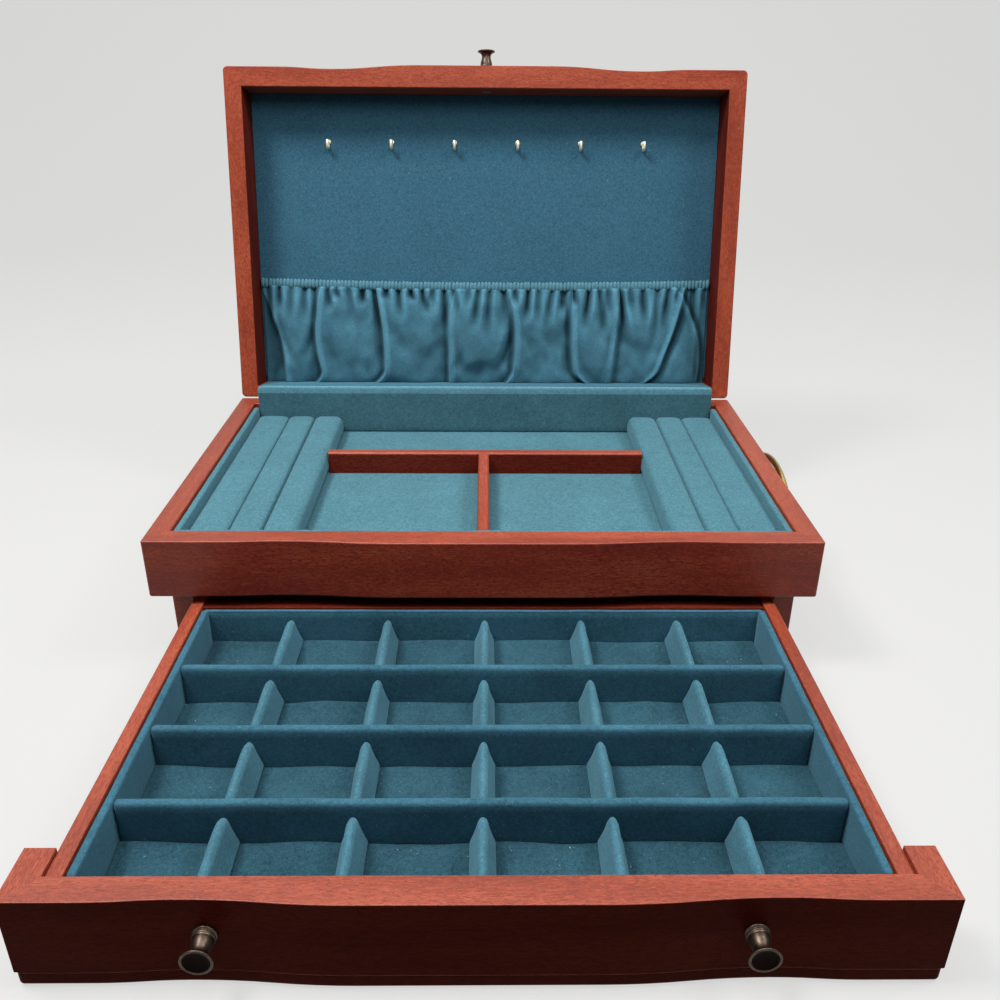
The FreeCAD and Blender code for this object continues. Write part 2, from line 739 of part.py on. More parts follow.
def build_tray_dividers():
    top = RIM_Z - DIVIDER_TOP_DROP
    half = ROLL_INNER_X - 0.3
    y0 = LONG_DIVIDER_Y - DIVIDER_T / 2
    y1 = LONG_DIVIDER_Y + DIVIDER_T / 2
    long = box(-half, half, y0, y1, TRAY_Z, top)
    long = rounded(long, DIVIDER_R, lambda b: b.XLength > half and at(b.ZMin, top))
    x0 = SHORT_DIVIDER_X - DIVIDER_T / 2
    x1 = SHORT_DIVIDER_X + DIVIDER_T / 2
    short = box(x0, x1, LINING_FRONT_Y + 0.3, y0, TRAY_Z, top)
    short = rounded(short, DIVIDER_R, lambda b: b.YLength > 50 and at(b.ZMin, top))
    save("tray_long_divider", long)
    save("tray_short_divider", short)


def build_hinges():
    places = hinge_places()
    save("hinge_case_leaves", [case_leaf(x) for x in places])
    save_lid("hinge_lid_leaves", [lid_leaf(x) for x in places])
    save_lid("hinge_pins", [hinge_pin(x) for x in places])
    save("hinge_case_screws", [small_screw(p, RIM_Z, True) for x in places for p in screw_places(x)])
    save_lid("hinge_lid_screws", [small_screw(p, LID_Z, False) for x in places for p in screw_places(x)])


def build_lid_wood():
    front, left, right, back = lid_frame()
    for x in hinge_places():
        back = back.cut(leaf_recess(x, LID_Z - 1, LID_Z + LEAF_T + LEAF_CLEAR))
        for place in screw_places(x):
            back = back.cut(screw_sink(place, LID_Z, False))
    front = front.cut(screw_hole(0, LID_Z + LID_H / 2, FRONT_T))
    save_lid("lid_front_rail", front)
    save_lid("lid_left_rail", left)
    save_lid("lid_right_rail", right)
    save_lid("lid_back_rail", back)
    seam = 0.1
    panel = box(
        -IN_X - TOP_REBATE + seam, IN_X + TOP_REBATE - seam,
        FRONT_T - TOP_REBATE + seam, LID_IN_BACK_Y + BACK_REBATE - seam, PANEL_Z, LID_TOP_Z,
    )
    save_lid("lid_top_panel", panel)
    lining = box(-IN_X + 0.2, IN_X - 0.2, FRONT_T + 0.2, LID_IN_BACK_Y - 0.2, LINING_Z, PANEL_Z)
    for place in hook_places():
        lining = lining.cut(cylinder(HOOK_WIRE_R + 0.05, 9, place, vec(0, 0, 1)))
    save_lid("lid_lining", lining)


def lid_point(x, s, out):
    """A point on the inside of the lid: s from the hinge edge, out from the lining."""
    return vec(x, CASE_D - s, LINING_Z - out)


def hook_places():
    first = -HOOK_PITCH * (HOOK_COUNT - 1) / 2
    return [lid_point(first + i * HOOK_PITCH, HOOK_S, 0) for i in range(HOOK_COUNT)]


def cup_hook(place):
    """A small screw-in hook: collar, shank and a curl that opens upwards."""
    out = 1.2 + HOOK_R
    centre = vec(place.x, place.y, place.z - out)
    shank = cylinder(HOOK_WIRE_R, out - HOOK_R + LINING_BOARD_T, vec(place.x, place.y, place.z - 1.2),
                     vec(0, 0, 1))
    collar = turned([(1.9, 0.05), (1.2, 0.9)], place, vec(0, 0, -1))
    corners = []
    for i in range(HOOK_WIRE_SIDES + 1):
        turn = 2 * math.pi * i / HOOK_WIRE_SIDES
        corners.append(centre + vec(HOOK_WIRE_R * math.cos(turn), 0, HOOK_R + HOOK_WIRE_R * math.sin(turn)))
    curl = Part.Face(Part.makePolygon(corners)).revolve(centre, vec(1, 0, 0), HOOK_TURN)
    return shank.fuse([collar, curl])


def build_lid_fittings():
    save_lid("cup_hooks", [cup_hook(p) for p in hook_places()])
    low = LID_IN_BACK_Y - 0.4
    high = CASE_D - POCKET_TOP_S
    pocket = box(-POCKET_HALF, POCKET_HALF, high, low, LINING_Z - 0.3 - POCKET_T, LINING_Z - 0.3)
    pocket = rounded(pocket, 0.45 * POCKET_T, lambda b: level(b) and at(b.ZMin, LINING_Z - 0.3 - POCKET_T))
    save_lid("lid_pocket", pocket)
    band = box(
        -POCKET_HALF, POCKET_HALF, high - 0.3 - ELASTIC_H, high - 0.3,
        LINING_Z - 0.3 - ELASTIC_T, LINING_Z - 0.3,
    )
    save_lid("pocket_elastic", band)


def knob_body(base, along):
    """A turned knob: ringed foot, waisted barrel and a wide thin rim."""
    foot = KNOB_BASE_R
    neck = KNOB_NECK_R
    rim = KNOB_FLARE_R
    points = [(foot, 0.0), (foot, 1.3), (0.86 * foot, 1.6), (0.96 * foot, 2.3), (0.86 * foot, 3.1)]
    steps = 4
    lower_start = points[-1]
    waist_h = 0.66 * KNOB_L
    for i in range(1, steps + 1):
        t = i / steps
        ease = (1 - math.cos(math.pi * t)) / 2
        h = lower_start[1] + (waist_h - lower_start[1]) * t
        points.append((lower_start[0] + (neck - lower_start[0]) * ease, h))
    rim_h = KNOB_L - 0.9
    for i in range(1, steps + 1):
        t = i / steps
        h = waist_h + (rim_h - waist_h) * t
        points.append((neck + (rim - neck) * t ** 2.2, h))
    points += [(rim, KNOB_L - 0.4), (rim - 0.4, KNOB_L), (rim - 1.2, KNOB_L - 0.25)]
    return turned(points, base, along)


def knob_seat(x):
    """The most forward part of the wavy face under the foot of a knob."""
    return min(wave_y(x - KNOB_BASE_R), wave_y(x), wave_y(x + KNOB_BASE_R)) - 0.02


def knob_with_screw(x, z, inner_y):
    """A knob on the wavy face, and its screw with the head sunk inside."""
    out = vec(0, -1, 0)
    base = vec(x, knob_seat(x), z)
    head_y = inner_y - SCREW_HEAD_T
    tip_y = base.y - SCREW_BITE
    bore = cylinder(SCREW_R + 0.05, SCREW_BITE + 0.2, vec(x, base.y + 0.1, z), out)
    shank = cylinder(SCREW_R, head_y - tip_y, vec(x, head_y, z), out)
    head = cylinder(SCREW_HEAD_R, SCREW_HEAD_T, vec(x, inner_y, z), out)
    return knob_body(base, out).cut(bore), shank.fuse(head)


def screw_hole(x, z, inner_y):
    """The bore for a knob screw, wider where its head is sunk."""
    bore = cylinder(SCREW_R + 0.05, FAR, vec(x, inner_y, z), vec(0, -1, 0))
    start = vec(x, inner_y + 1, z)
    return bore.fuse(cylinder(SCREW_HEAD_R + 0.1, SCREW_HEAD_T + 1.05, start, vec(0, -1, 0)))


def build_lid_knob():
    body, screw = knob_with_screw(0, LID_Z + LID_H / 2, FRONT_T)
    save_lid("lid_knob", body)
    save_lid("lid_knob_screw", screw)


def drawer_wave_block(inset, y_back, z0, z1):
    return wave_block(DRAWER_HALF - inset, inset, y_back, z0, z1)


def drawer_mitre(z0, z1):
    """Wedge that holds the drawer front and leaves the returns."""
    t_side = DRAWER_HALF - SIDE_OUT_X
    t_front = DRAWER_FRONT_T
    return prism_z(
        [(-DRAWER_HALF - t_side, -t_front), (DRAWER_HALF + t_side, -t_front),
         (SIDE_OUT_X, t_front), (-SIDE_OUT_X, t_front)], z0, z1,
    )


def build_drawer_front():
    block = drawer_wave_block(0, RETURN_L, MOULD_TOP_Z, DRAWER_TOP_Z)
    block = rounded(block, 0.6, lambda b: upright(b) and b.YMax < 0.1 and abs(b.XMin) > DRAWER_HALF - 0.1)

    def outer_top(b):
        return level(b) and at(b.ZMin, DRAWER_TOP_Z) and b.YMin < RETURN_L - 0.1

    def outer_bottom(b):
        return level(b) and at(b.ZMin, MOULD_TOP_Z) and b.YMin < RETURN_L - 0.1

    block = rounded(block, 0.5, outer_top)
    block = rounded(block, 0.7, outer_bottom)
    block = block.cut(box(-SIDE_OUT_X, SIDE_OUT_X, DRAWER_FRONT_T, FAR, 0, RIM_Z))
    wedge = drawer_mitre(0, RIM_Z)
    front = block.common(wedge)
    sides = block.cut(wedge)
    for x in (-DRAWER_KNOB_X, DRAWER_KNOB_X):
        front = front.cut(screw_hole(x, DRAWER_KNOB_Z, DRAWER_FRONT_T))
    save_drawer("drawer_front", front)
    for solid in sides.Solids:
        name = "drawer_right_return" if solid.BoundBox.XMin > 0 else "drawer_left_return"
        save_drawer(name, solid)


def build_drawer_moulding():
    """The base moulding that follows the serpentine front and its returns."""
    bead_top = MOULD_TOP_Z - MOULD_NOTCH_H
    notch = drawer_wave_block(MOULD_NOTCH, RETURN_L, bead_top, MOULD_TOP_Z)
    bead = drawer_wave_block(MOULD_BEAD, RETURN_L, MOULD_BOTTOM_Z, bead_top)
    corner_r = 1.15 * MOULD_ROUND

    def front_corner(b):
        return upright(b) and b.YMax < MOULD_NOTCH + 0.1 and abs(b.XMin) > DRAWER_HALF - MOULD_NOTCH - 0.1

    def front_or_side(b, z):
        return level(b) and at(b.ZMin, z) and b.YMin < RETURN_L - 0.1

    notch = rounded(notch, corner_r - MOULD_NOTCH + MOULD_BEAD, front_corner)
    bead = rounded(bead, corner_r, front_corner)
    bead = rounded(bead, MOULD_ROUND, lambda b: front_or_side(b, MOULD_BOTTOM_Z))
    bead = rounded(bead, 0.75 * (MOULD_NOTCH - MOULD_BEAD), lambda b: front_or_side(b, bead_top))
    body = bead.fuse(notch)
    inner = DRAWER_HALF - MOULD_D
    body = body.cut(box(-inner, inner, MOULD_D, FAR, -1, RIM_Z))
    wedge = prism_z(
        [(-DRAWER_HALF - MOULD_D, -MOULD_D), (DRAWER_HALF + MOULD_D, -MOULD_D),
         (inner, MOULD_D), (-inner, MOULD_D)], -1, RIM_Z,
    )
    pieces = body.common(wedge).Solids + body.cut(wedge).Solids
    save_drawer("drawer_base_moulding", pieces)


def build_drawer_box():
    side = box(SIDE_IN_X, SIDE_OUT_X, DRAWER_FRONT_T, TAIL_Y, SIDE_Z, SIDE_TOP_Z)
    side = rounded(side, 0.5, lambda b: b.YLength > CASE_D / 2 and at(b.ZMin, SIDE_TOP_Z))
    groove = box(
        SIDE_IN_X - 1, SIDE_IN_X + GROOVE_D + GROOVE_CLEAR, 0, BACK_PANEL_Y + BACK_PANEL_T,
        BOTTOM_Z - GROOVE_CLEAR, BOTTOM_Z + BOTTOM_T + GROOVE_CLEAR,
    )
    side = side.cut(groove)
    save_drawer("drawer_right_side", side)
    save_drawer("drawer_left_side", mirrored_x(side))
    back = box(
        -SIDE_IN_X, SIDE_IN_X, BACK_PANEL_Y, BACK_PANEL_Y + BACK_PANEL_T,
        BOTTOM_Z + BOTTOM_T, BACK_PANEL_TOP_Z,
    )
    back = rounded(back, 0.5, lambda b: b.XLength > CASE_W / 2 and at(b.ZMin, BACK_PANEL_TOP_Z))
    save_drawer("drawer_back", back)
    bottom = box(
        -SIDE_IN_X - GROOVE_D, SIDE_IN_X + GROOVE_D, DRAWER_FRONT_T,
        BACK_PANEL_Y + BACK_PANEL_T, BOTTOM_Z, BOTTOM_Z + BOTTOM_T,
    )
    save_drawer("drawer_bottom", bottom)


def row_edges():
    """Front and back of each row of cells, from the front of the drawer."""
    backs = sorted(CELL_BACK_Y - BACK_ROW_D - i * LONG_PITCH for i in range(LONG_ROWS))
    rows = []
    start = CELL_FRONT_Y
    for y in backs:
        rows.append((start, y - LONG_T))
        start = y
    rows.append((start, CELL_BACK_Y))
    return rows


def build_insert():
    z0 = BOTTOM_Z + BOTTOM_T
    side = box(WALL_IN_X, WALL_IN_X + INSERT_WALL_T, CELL_FRONT_Y, CELL_BACK_Y, z0, INSERT_TOP_Z)
    side = rounded(side, 0.45 * INSERT_WALL_T, lambda b: b.YLength > 100 and at(b.ZMin, INSERT_TOP_Z))
    end = WALL_IN_X + INSERT_WALL_T
    front = box(-end, end, CELL_FRONT_Y - INSERT_FRONT_T, CELL_FRONT_Y - 0.02, z0, INSERT_TOP_Z)
    back = box(-end, end, CELL_BACK_Y + 0.02, CELL_BACK_Y + INSERT_BACK_T, z0, INSERT_TOP_Z - 1.5)
    save_drawer("insert_walls", [side, mirrored_x(side), front, back])
    rows = row_edges()
    longs = []
    shorts = []
    floors = []
    foot_half = WALL_IN_X - 0.3
    for i, (y0, y1) in enumerate(rows):
        if i > 0:
            wall = box(-foot_half, foot_half, rows[i - 1][1], y0, z0, INSERT_TOP_Z)
            wall = rounded(wall, 0.45 * LONG_T, lambda b: b.XLength > 100 and at(b.ZMin, INSERT_TOP_Z))
            longs.append(wall)
        floors.append(box(-foot_half, foot_half, y0 + 0.3, y1 - 0.3, z0, CELL_FLOOR_Z))
        for k in range(SHORT_COUNT):
            x = (k - (SHORT_COUNT - 1) / 2) * SHORT_PITCH
            shorts.append(short_wedge(x, y0 + 0.3, y1 - 0.3))
    save_drawer("insert_long_dividers", longs)
    save_drawer("insert_floors", floors)
    save_drawer("insert_short_dividers", shorts)


def short_wedge(x, y0, y1):
    """A short divider, wide at the floor with a rounded ridge."""
    foot = SHORT_FOOT_T / 2
    neck = SHORT_TOP_T / 2
    z_neck = SHORT_TOP_Z - 0.8 * neck
    mid = 0.55 * foot + 0.45 * neck
    z_mid = (CELL_FLOOR_Z + z_neck) / 2 + 1.0
    p = [vec(x - foot, y0, CELL_FLOOR_Z + 0.02), vec(x - neck, y0, z_neck)]
    q = [vec(x + foot, y0, CELL_FLOOR_Z + 0.02), vec(x + neck, y0, z_neck)]
    edges = [
        Part.Arc(p[0], vec(x - mid, y0, z_mid), p[1]).toShape(),
        Part.Arc(p[1], vec(x, y0, SHORT_TOP_Z), q[1]).toShape(),
        Part.Arc(q[1], vec(x + mid, y0, z_mid), q[0]).toShape(),
        Part.makeLine(q[0], p[0]),
    ]
    return Part.Face(Part.Wire(edges)).extrude(vec(0, y1 - y0, 0))


def build_drawer_knobs():
    bodies = []
    screws = []
    for x in (-DRAWER_KNOB_X, DRAWER_KNOB_X):
        body, screw = knob_with_screw(x, DRAWER_KNOB_Z, DRAWER_FRONT_T)
        bodies.append(body)
        screws.append(screw)
    save_drawer("drawer_knobs", bodies)
    save_drawer("drawer_knob_screws", screws)


def bail_bend(centre_y, centre_z, radius, start, sweep):
    """A bent length of the bail wire about an axis along X, in degrees."""
    turn = math.radians(start)
    tangent = vec(0, -math.sin(turn), math.cos(turn))
    place = vec(0, centre_y + radius * math.cos(turn), centre_z + radius * math.sin(turn))
    ring = Part.Face(Part.Wire(Part.makeCircle(BAIL_R, place, tangent)))
    return ring.revolve(vec(0, centre_y, centre_z), vec(1, 0, 0), sweep)


def bail_body():
    """The bail standing up from its pivots, which lie on the Y axis."""
    run = BAIL_HALF - BAIL_CORNER_R
    rise = BAIL_RISE - BAIL_LEG
    crown_r = (run ** 2 + rise ** 2 - BAIL_CORNER_R ** 2) / (2 * (rise - BAIL_CORNER_R))
    crown_z = BAIL_RISE - crown_r
    lean = math.degrees(math.atan2(BAIL_LEG - crown_z, run))
    corner = bail_bend(run, BAIL_LEG, BAIL_CORNER_R, 0, lean)
    leg = cylinder(BAIL_R, BAIL_LEG + BAIL_R, vec(0, BAIL_HALF, -BAIL_R), vec(0, 0, 1))
    reach = BAIL_HALF - POST_HALF + POST_EYE_T / 2 + 1.0
    pin = cylinder(BAIL_PIN_R, reach, vec(0, BAIL_HALF, 0), vec(0, -1, 0))
    half = leg.fuse([corner, pin])
    other = half.mirror(vec(0, 0, 0), vec(0, 1, 0))
    crown = bail_bend(0, crown_z, crown_r, lean, 180 - 2 * lean)
    return crown.fuse([half, other])


def post_body(y):
    """A post with a rose against the case and an eye for the bail."""
    rose = turned([(ROSE_R, 0), (ROSE_R, 0.5), (0.7 * ROSE_R, ROSE_T)], vec(HALF_W, y, BAIL_Z), vec(1, 0, 0))
    stem = cylinder(POST_STEM_R, BAIL_X_OUT, vec(HALF_W, y, BAIL_Z), vec(1, 0, 0))
    eye = cylinder(POST_EYE_R, POST_EYE_T, vec(HALF_W + BAIL_X_OUT, y - POST_EYE_T / 2, BAIL_Z), vec(0, 1, 0))
    bore = cylinder(
        BAIL_PIN_R + BAIL_PIN_CLEAR, POST_EYE_T + 2,
        vec(HALF_W + BAIL_X_OUT, y - POST_EYE_T / 2 - 1, BAIL_Z), vec(0, 1, 0),
    )
    tail = cylinder(SCREW_R, WALL_T, vec(HALF_W - WALL_T, y, BAIL_Z), vec(1, 0, 0))
    return rose.fuse([stem, eye, tail]).cut(bore)


def build_handles():
    posts = [post_body(MID_Y - POST_HALF), post_body(MID_Y + POST_HALF)]
    save("handle_posts_right", posts)
    save("handle_posts_left", [mirrored_x(p) for p in posts])
    pivot = vec(HALF_W + BAIL_X_OUT, MID_Y, BAIL_Z)
    right = bail_body()
    right.rotate(vec(0, 0, 0), vec(0, 1, 0), 180 - BAIL_UP)
    right.translate(pivot)
    save("bail_right", right)
    left = bail_body()
    left.rotate(vec(0, 0, 0), vec(0, 1, 0), 180)
    left.translate(vec(-pivot.x, pivot.y, pivot.z))
    save("bail_left", left)


build_tray_box()
build_lower_case()
build_case_moulding()
build_case_inside()
build_tray_lining()
build_rear_board()
build_ring_rolls()
build_tray_dividers()
build_hinges()
build_lid_wood()
build_lid_fittings()
build_lid_knob()
build_drawer_front()
build_drawer_moulding()
build_drawer_box()
build_insert()
build_drawer_knobs()
build_handles()
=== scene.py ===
# %% [markdown]
# A jewellery chest stands open: the lid leans back, the drawer is drawn out,
# and every hollow is lined with teal velvet. The solids come from the CAD
# model. Blender gives them wood, velvet and brass, and makes the soft pieces
# anew, because a foam roll or a gathered pocket is never a plain block.

# %% Load the frame
import bpy
import bmesh
import math
import random
from mathutils import Vector, Matrix, noise


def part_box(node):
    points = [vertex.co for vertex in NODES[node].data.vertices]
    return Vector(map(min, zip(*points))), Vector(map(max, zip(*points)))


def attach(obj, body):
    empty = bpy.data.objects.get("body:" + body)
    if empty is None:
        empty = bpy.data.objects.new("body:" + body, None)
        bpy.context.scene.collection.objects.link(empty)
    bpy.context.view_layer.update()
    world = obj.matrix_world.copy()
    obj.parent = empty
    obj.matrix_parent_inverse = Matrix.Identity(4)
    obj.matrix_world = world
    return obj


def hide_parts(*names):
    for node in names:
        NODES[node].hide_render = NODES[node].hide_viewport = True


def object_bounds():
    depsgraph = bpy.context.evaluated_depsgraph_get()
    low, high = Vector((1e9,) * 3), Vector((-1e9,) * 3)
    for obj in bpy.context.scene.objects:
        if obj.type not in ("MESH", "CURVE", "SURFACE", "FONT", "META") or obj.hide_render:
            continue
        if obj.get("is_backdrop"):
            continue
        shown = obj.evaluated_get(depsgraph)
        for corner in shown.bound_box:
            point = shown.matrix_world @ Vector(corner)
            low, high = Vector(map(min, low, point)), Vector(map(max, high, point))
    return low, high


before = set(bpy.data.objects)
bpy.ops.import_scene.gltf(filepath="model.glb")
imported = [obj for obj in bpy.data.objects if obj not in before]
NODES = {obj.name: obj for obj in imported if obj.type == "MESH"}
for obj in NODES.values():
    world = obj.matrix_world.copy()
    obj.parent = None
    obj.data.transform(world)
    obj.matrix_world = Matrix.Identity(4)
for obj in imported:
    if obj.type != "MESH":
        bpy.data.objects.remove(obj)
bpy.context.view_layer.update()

# %% [markdown]
# The camera stands a little above the open lid's middle and looks down at
# the drawer. Its place and lens were solved from the straight edges of the
# chest, so the same edges converge in the same way here.

# %% Camera
CAMERA_PLACE = Vector((0.0017, -0.5786, 0.3284))
CAMERA_PITCH = math.radians(25.45)
CAMERA_YAW = 0.0146
CAMERA_ROLL = -0.0085
LENS_MM, SENSOR_MM = 33.80, 36.0

ahead = Vector((math.sin(CAMERA_YAW) * math.cos(CAMERA_PITCH),
                math.cos(CAMERA_YAW) * math.cos(CAMERA_PITCH),
                -math.sin(CAMERA_PITCH)))
level_right = Vector((math.cos(CAMERA_YAW), -math.sin(CAMERA_YAW), 0))
level_down = ahead.cross(level_right)
right = math.cos(CAMERA_ROLL) * level_right + math.sin(CAMERA_ROLL) * level_down
down = -math.sin(CAMERA_ROLL) * level_right + math.cos(CAMERA_ROLL) * level_down
turn = Matrix((right, -down, -ahead)).transposed().to_4x4()
camera_data = bpy.data.cameras.new("camera")
camera_data.lens = LENS_MM
camera_data.sensor_width = SENSOR_MM
camera = bpy.data.objects.new("camera", camera_data)
camera.matrix_world = Matrix.Translation(CAMERA_PLACE) @ turn
bpy.context.scene.collection.objects.link(camera)
bpy.context.scene.camera = camera
bpy.context.scene.view_settings.view_transform = "Standard"
print("camera at", tuple(round(v, 3) for v in CAMERA_PLACE))

# %% [markdown]
# Nodes in a material are wired many times below, so a few short helpers
# come first: one feeds a socket with a value or a link, one adds a node with
# its values, and one adds a named group.

# %% Helpers for materials


def feed(tree, socket, value):
    """Links an input to an output, or sets its value; a colour gets its alpha."""
    if isinstance(value, bpy.types.NodeSocket):
        tree.links.new(value, socket)
    else:
        socket.default_value = (*value, 1.0) if socket.type == "RGBA" and len(value) == 3 else value


def add_node(tree, kind, inputs=None, **settings):
    """A node with its settings, and input values or links by name."""
    node = tree.nodes.new(kind)
    for key, value in settings.items():
        setattr(node, key, value)
    for key, value in (inputs or {}).items():
        feed(tree, node.inputs[key], value)
    return node


def new_group(name, inputs, outputs):
    """An empty shader group with named sockets and its two end nodes."""
    group = bpy.data.node_groups.new(name, "ShaderNodeTree")
    for label, kind, value in inputs:
        socket = group.interface.new_socket(label, in_out="INPUT", socket_type=kind)
        if value is not None:
            socket.default_value = value
    for label, kind in outputs:
        group.interface.new_socket(label, in_out="OUTPUT", socket_type=kind)
    return group, group.nodes.new("NodeGroupInput"), group.nodes.new("NodeGroupOutput")


print("node helpers", feed.__name__, add_node.__name__, new_group.__name__)

# %% [markdown]
# A pattern becomes a mask through a ramp, and arithmetic and colour mixes
# join masks to colours. Each helper here is one node, wired in one line.

# %% Masks and mixes


def ramp(tree, factor, stops):
    """A colour ramp with (position, grey or colour) stops."""
    node = add_node(tree, "ShaderNodeValToRGB", {"Fac": factor})
    elements = node.color_ramp.elements
    while len(elements) < len(stops):
        elements.new(0.5)
    for element, (place, value) in zip(elements, stops):
        element.position = place
        grey = (value, value, value) if isinstance(value, (int, float)) else value
        element.color = (*grey, 1.0)
    return node.outputs["Color"]


def maths(tree, operation, a, b):
    """One arithmetic node."""
    node = add_node(tree, "ShaderNodeMath", operation=operation)
    for socket, value in zip(node.inputs, (a, b)):
        feed(tree, socket, value)
    return node.outputs[0]


def mix_colour(tree, factor, a, b, blend="MIX"):
    """Mixes two colours, or multiplies them, by a factor."""
    return add_node(tree, "ShaderNodeMix", {0: factor, 6: a, 7: b}, data_type="RGBA", blend_type=blend).outputs[2]


def noise_at(tree, vector, scale, detail=2.0, rough=0.5):
    """A noise texture's grey value."""
    values = {"Vector": vector, "Scale": scale, "Detail": detail, "Roughness": rough}
    return add_node(tree, "ShaderNodeTexNoise", values).outputs["Fac"]


print("mask helpers", *[f.__name__ for f in (ramp, maths, mix_colour, noise_at)])

# %% [markdown]
# Mahogany shows three things at once: broad ribbons where the grain turns,
# fine streaks along the board, and open pores, which read as tiny dark and
# light specks under a satin lacquer. All three are noise stretched along
# the board, so one group with a grain direction serves every rail.

# %% Wood grain group
GRAIN_COLOUR = ((0.190, 0.029, 0.014), (0.315, 0.056, 0.026), (0.450, 0.104, 0.052))


def build_grain_group():
    """Ribbons, streaks, pores and flecks along one direction of the board."""
    group, ends, out = new_group(
        "mahogany_grain",
        [("Vector", "NodeSocketVector", None), ("Dark", "NodeSocketColor", (*GRAIN_COLOUR[0], 1)),
         ("Middle", "NodeSocketColor", (*GRAIN_COLOUR[1], 1)), ("Light", "NodeSocketColor", (*GRAIN_COLOUR[2], 1)),
         ("Pore Depth", "NodeSocketFloat", 0.6)],
        [("Color", "NodeSocketColor"), ("Height", "NodeSocketFloat"), ("Roughness", "NodeSocketFloat")],
    )
    vector, dark, middle, light = [ends.outputs[label] for label in ("Vector", "Dark", "Middle", "Light")]

    def stretched(along, across):
        """The place, scaled little along the grain and much across it."""
        return add_node(group, "ShaderNodeVectorMath", {0: vector, 1: (along, across, across)},
                        operation="MULTIPLY").outputs[0]

    ribbons = noise_at(group, stretched(6, 48), 1.0, 3.0, 0.55)
    streaks = noise_at(group, stretched(130, 900), 1.0, 4.0, 0.66)
    pores = noise_at(group, stretched(420, 1700), 1.0, 2.0, 0.7)
    flecks = noise_at(group, stretched(520, 1500), 1.0, 1.0, 0.6)
    tone = maths(group, "ADD", maths(group, "MULTIPLY", ribbons, 0.55), maths(group, "MULTIPLY", streaks, 0.45))
    base = mix_colour(group, ramp(group, tone, [(0.36, 0), (0.52, 1)]), dark, middle)
    lighter = mix_colour(group, ramp(group, tone, [(0.5, 0), (0.68, 0.8)]), base, light)
    with_flecks = mix_colour(group, ramp(group, flecks, [(0.54, 0), (0.68, 0.35)]), lighter, light)
    pore_mask = ramp(group, pores, [(0.39, 1), (0.50, 0)])
    pore_amount = maths(group, "MULTIPLY", pore_mask, ends.outputs["Pore Depth"])
    feed(group, out.inputs["Color"], mix_colour(group, pore_amount, with_flecks, dark))
    feed(group, out.inputs["Height"], maths(group, "SUBTRACT", maths(group, "MULTIPLY", streaks, 0.35), pore_mask))
    feed(group, out.inputs["Roughness"], maths(group, "ADD", 0.34, maths(group, "MULTIPLY", pores, 0.2)))
    return group


GRAIN_GROUP = build_grain_group()
print("grain group", len(GRAIN_GROUP.nodes), "nodes")

# %% [markdown]
# Velvet is flock or pile: short fibres that stand up, so it is darkest where
# you look straight down into it and lightest at grazing edges. Sheen on the
# shader does that. The group adds what sheen can't: the speckle of single
# tufts and the broad lighter strokes where a hand has pushed the pile over.

# %% Velvet pile group
PILE_COLOUR = (0.044, 0.132, 0.190)
LINT_COLOUR = (0.35, 0.5, 0.56)


def build_pile_group():
    """The speckle of the tufts, broad strokes and a few bits of lint."""
    group, ends, out = new_group(
        "velvet_pile",
        [("Vector", "NodeSocketVector", None), ("Color", "NodeSocketColor", (*PILE_COLOUR, 1)),
         ("Speckle", "NodeSocketFloat", 0.35), ("Strokes", "NodeSocketFloat", 0.3)],
        [("Color", "NodeSocketColor"), ("Height", "NodeSocketFloat")],
    )
    vector = ends.outputs["Vector"]
    tufts = noise_at(group, vector, 1500.0, 2.0, 0.75)
    clumps = noise_at(group, vector, 520.0, 3.0, 0.7)
    strokes = noise_at(group, vector, 26.0, 3.0, 0.6)
    shade = maths(group, "ADD", maths(group, "MULTIPLY", tufts, 0.6), maths(group, "MULTIPLY", clumps, 0.4))
    centred = maths(group, "MULTIPLY", maths(group, "SUBTRACT", shade, 0.5), ends.outputs["Speckle"])
    stroke = maths(group, "MULTIPLY", maths(group, "SUBTRACT", strokes, 0.5), ends.outputs["Strokes"])
    gain = maths(group, "ADD", maths(group, "MULTIPLY", maths(group, "ADD", centred, stroke), 3.0), 1.0)
    lint = ramp(group, noise_at(group, vector, 700.0, 1.0, 0.5), [(0.765, 0), (0.8, 0.45)])
    shaded = add_node(group, "ShaderNodeVectorMath", {0: ends.outputs["Color"], 1: gain}, operation="MULTIPLY")
    feed(group, out.inputs["Color"], mix_colour(group, lint, shaded.outputs[0], LINT_COLOUR))
    feed(group, out.inputs["Height"], shade)
    return group


PILE_GROUP = build_pile_group()
print("pile group", len(PILE_GROUP.nodes), "nodes")

# %% [markdown]
# Each finish is a Principled shader fed by one of the groups. The constant
# values, such as sheen, coat and metallic, are set on the shader itself.
# A rail's grain runs along its length, so the wood material is made once for
# each direction that a board takes, with a Mapping node to turn the grain.

# %% Finishes


def new_material(name, **values):
    """A material with a Principled shader and object coordinates."""
    material = bpy.data.materials.new(name)
    material.use_nodes = True
    tree = material.node_tree
    shader = tree.nodes["Principled BSDF"]
    for key, value in values.items():
        shader.inputs[key.replace("_", " ")].default_value = value
    place = add_node(tree, "ShaderNodeTexCoord").outputs["Object"]
    return material, tree, shader, place


def bump(tree, shader, height, strength, distance):
    """Fine relief from a height, as deep as the distance in metres."""
    node = add_node(tree, "ShaderNodeBump", {"Height": height, "Strength": strength, "Distance": distance})
    feed(tree, shader.inputs["Normal"], node.outputs["Normal"])


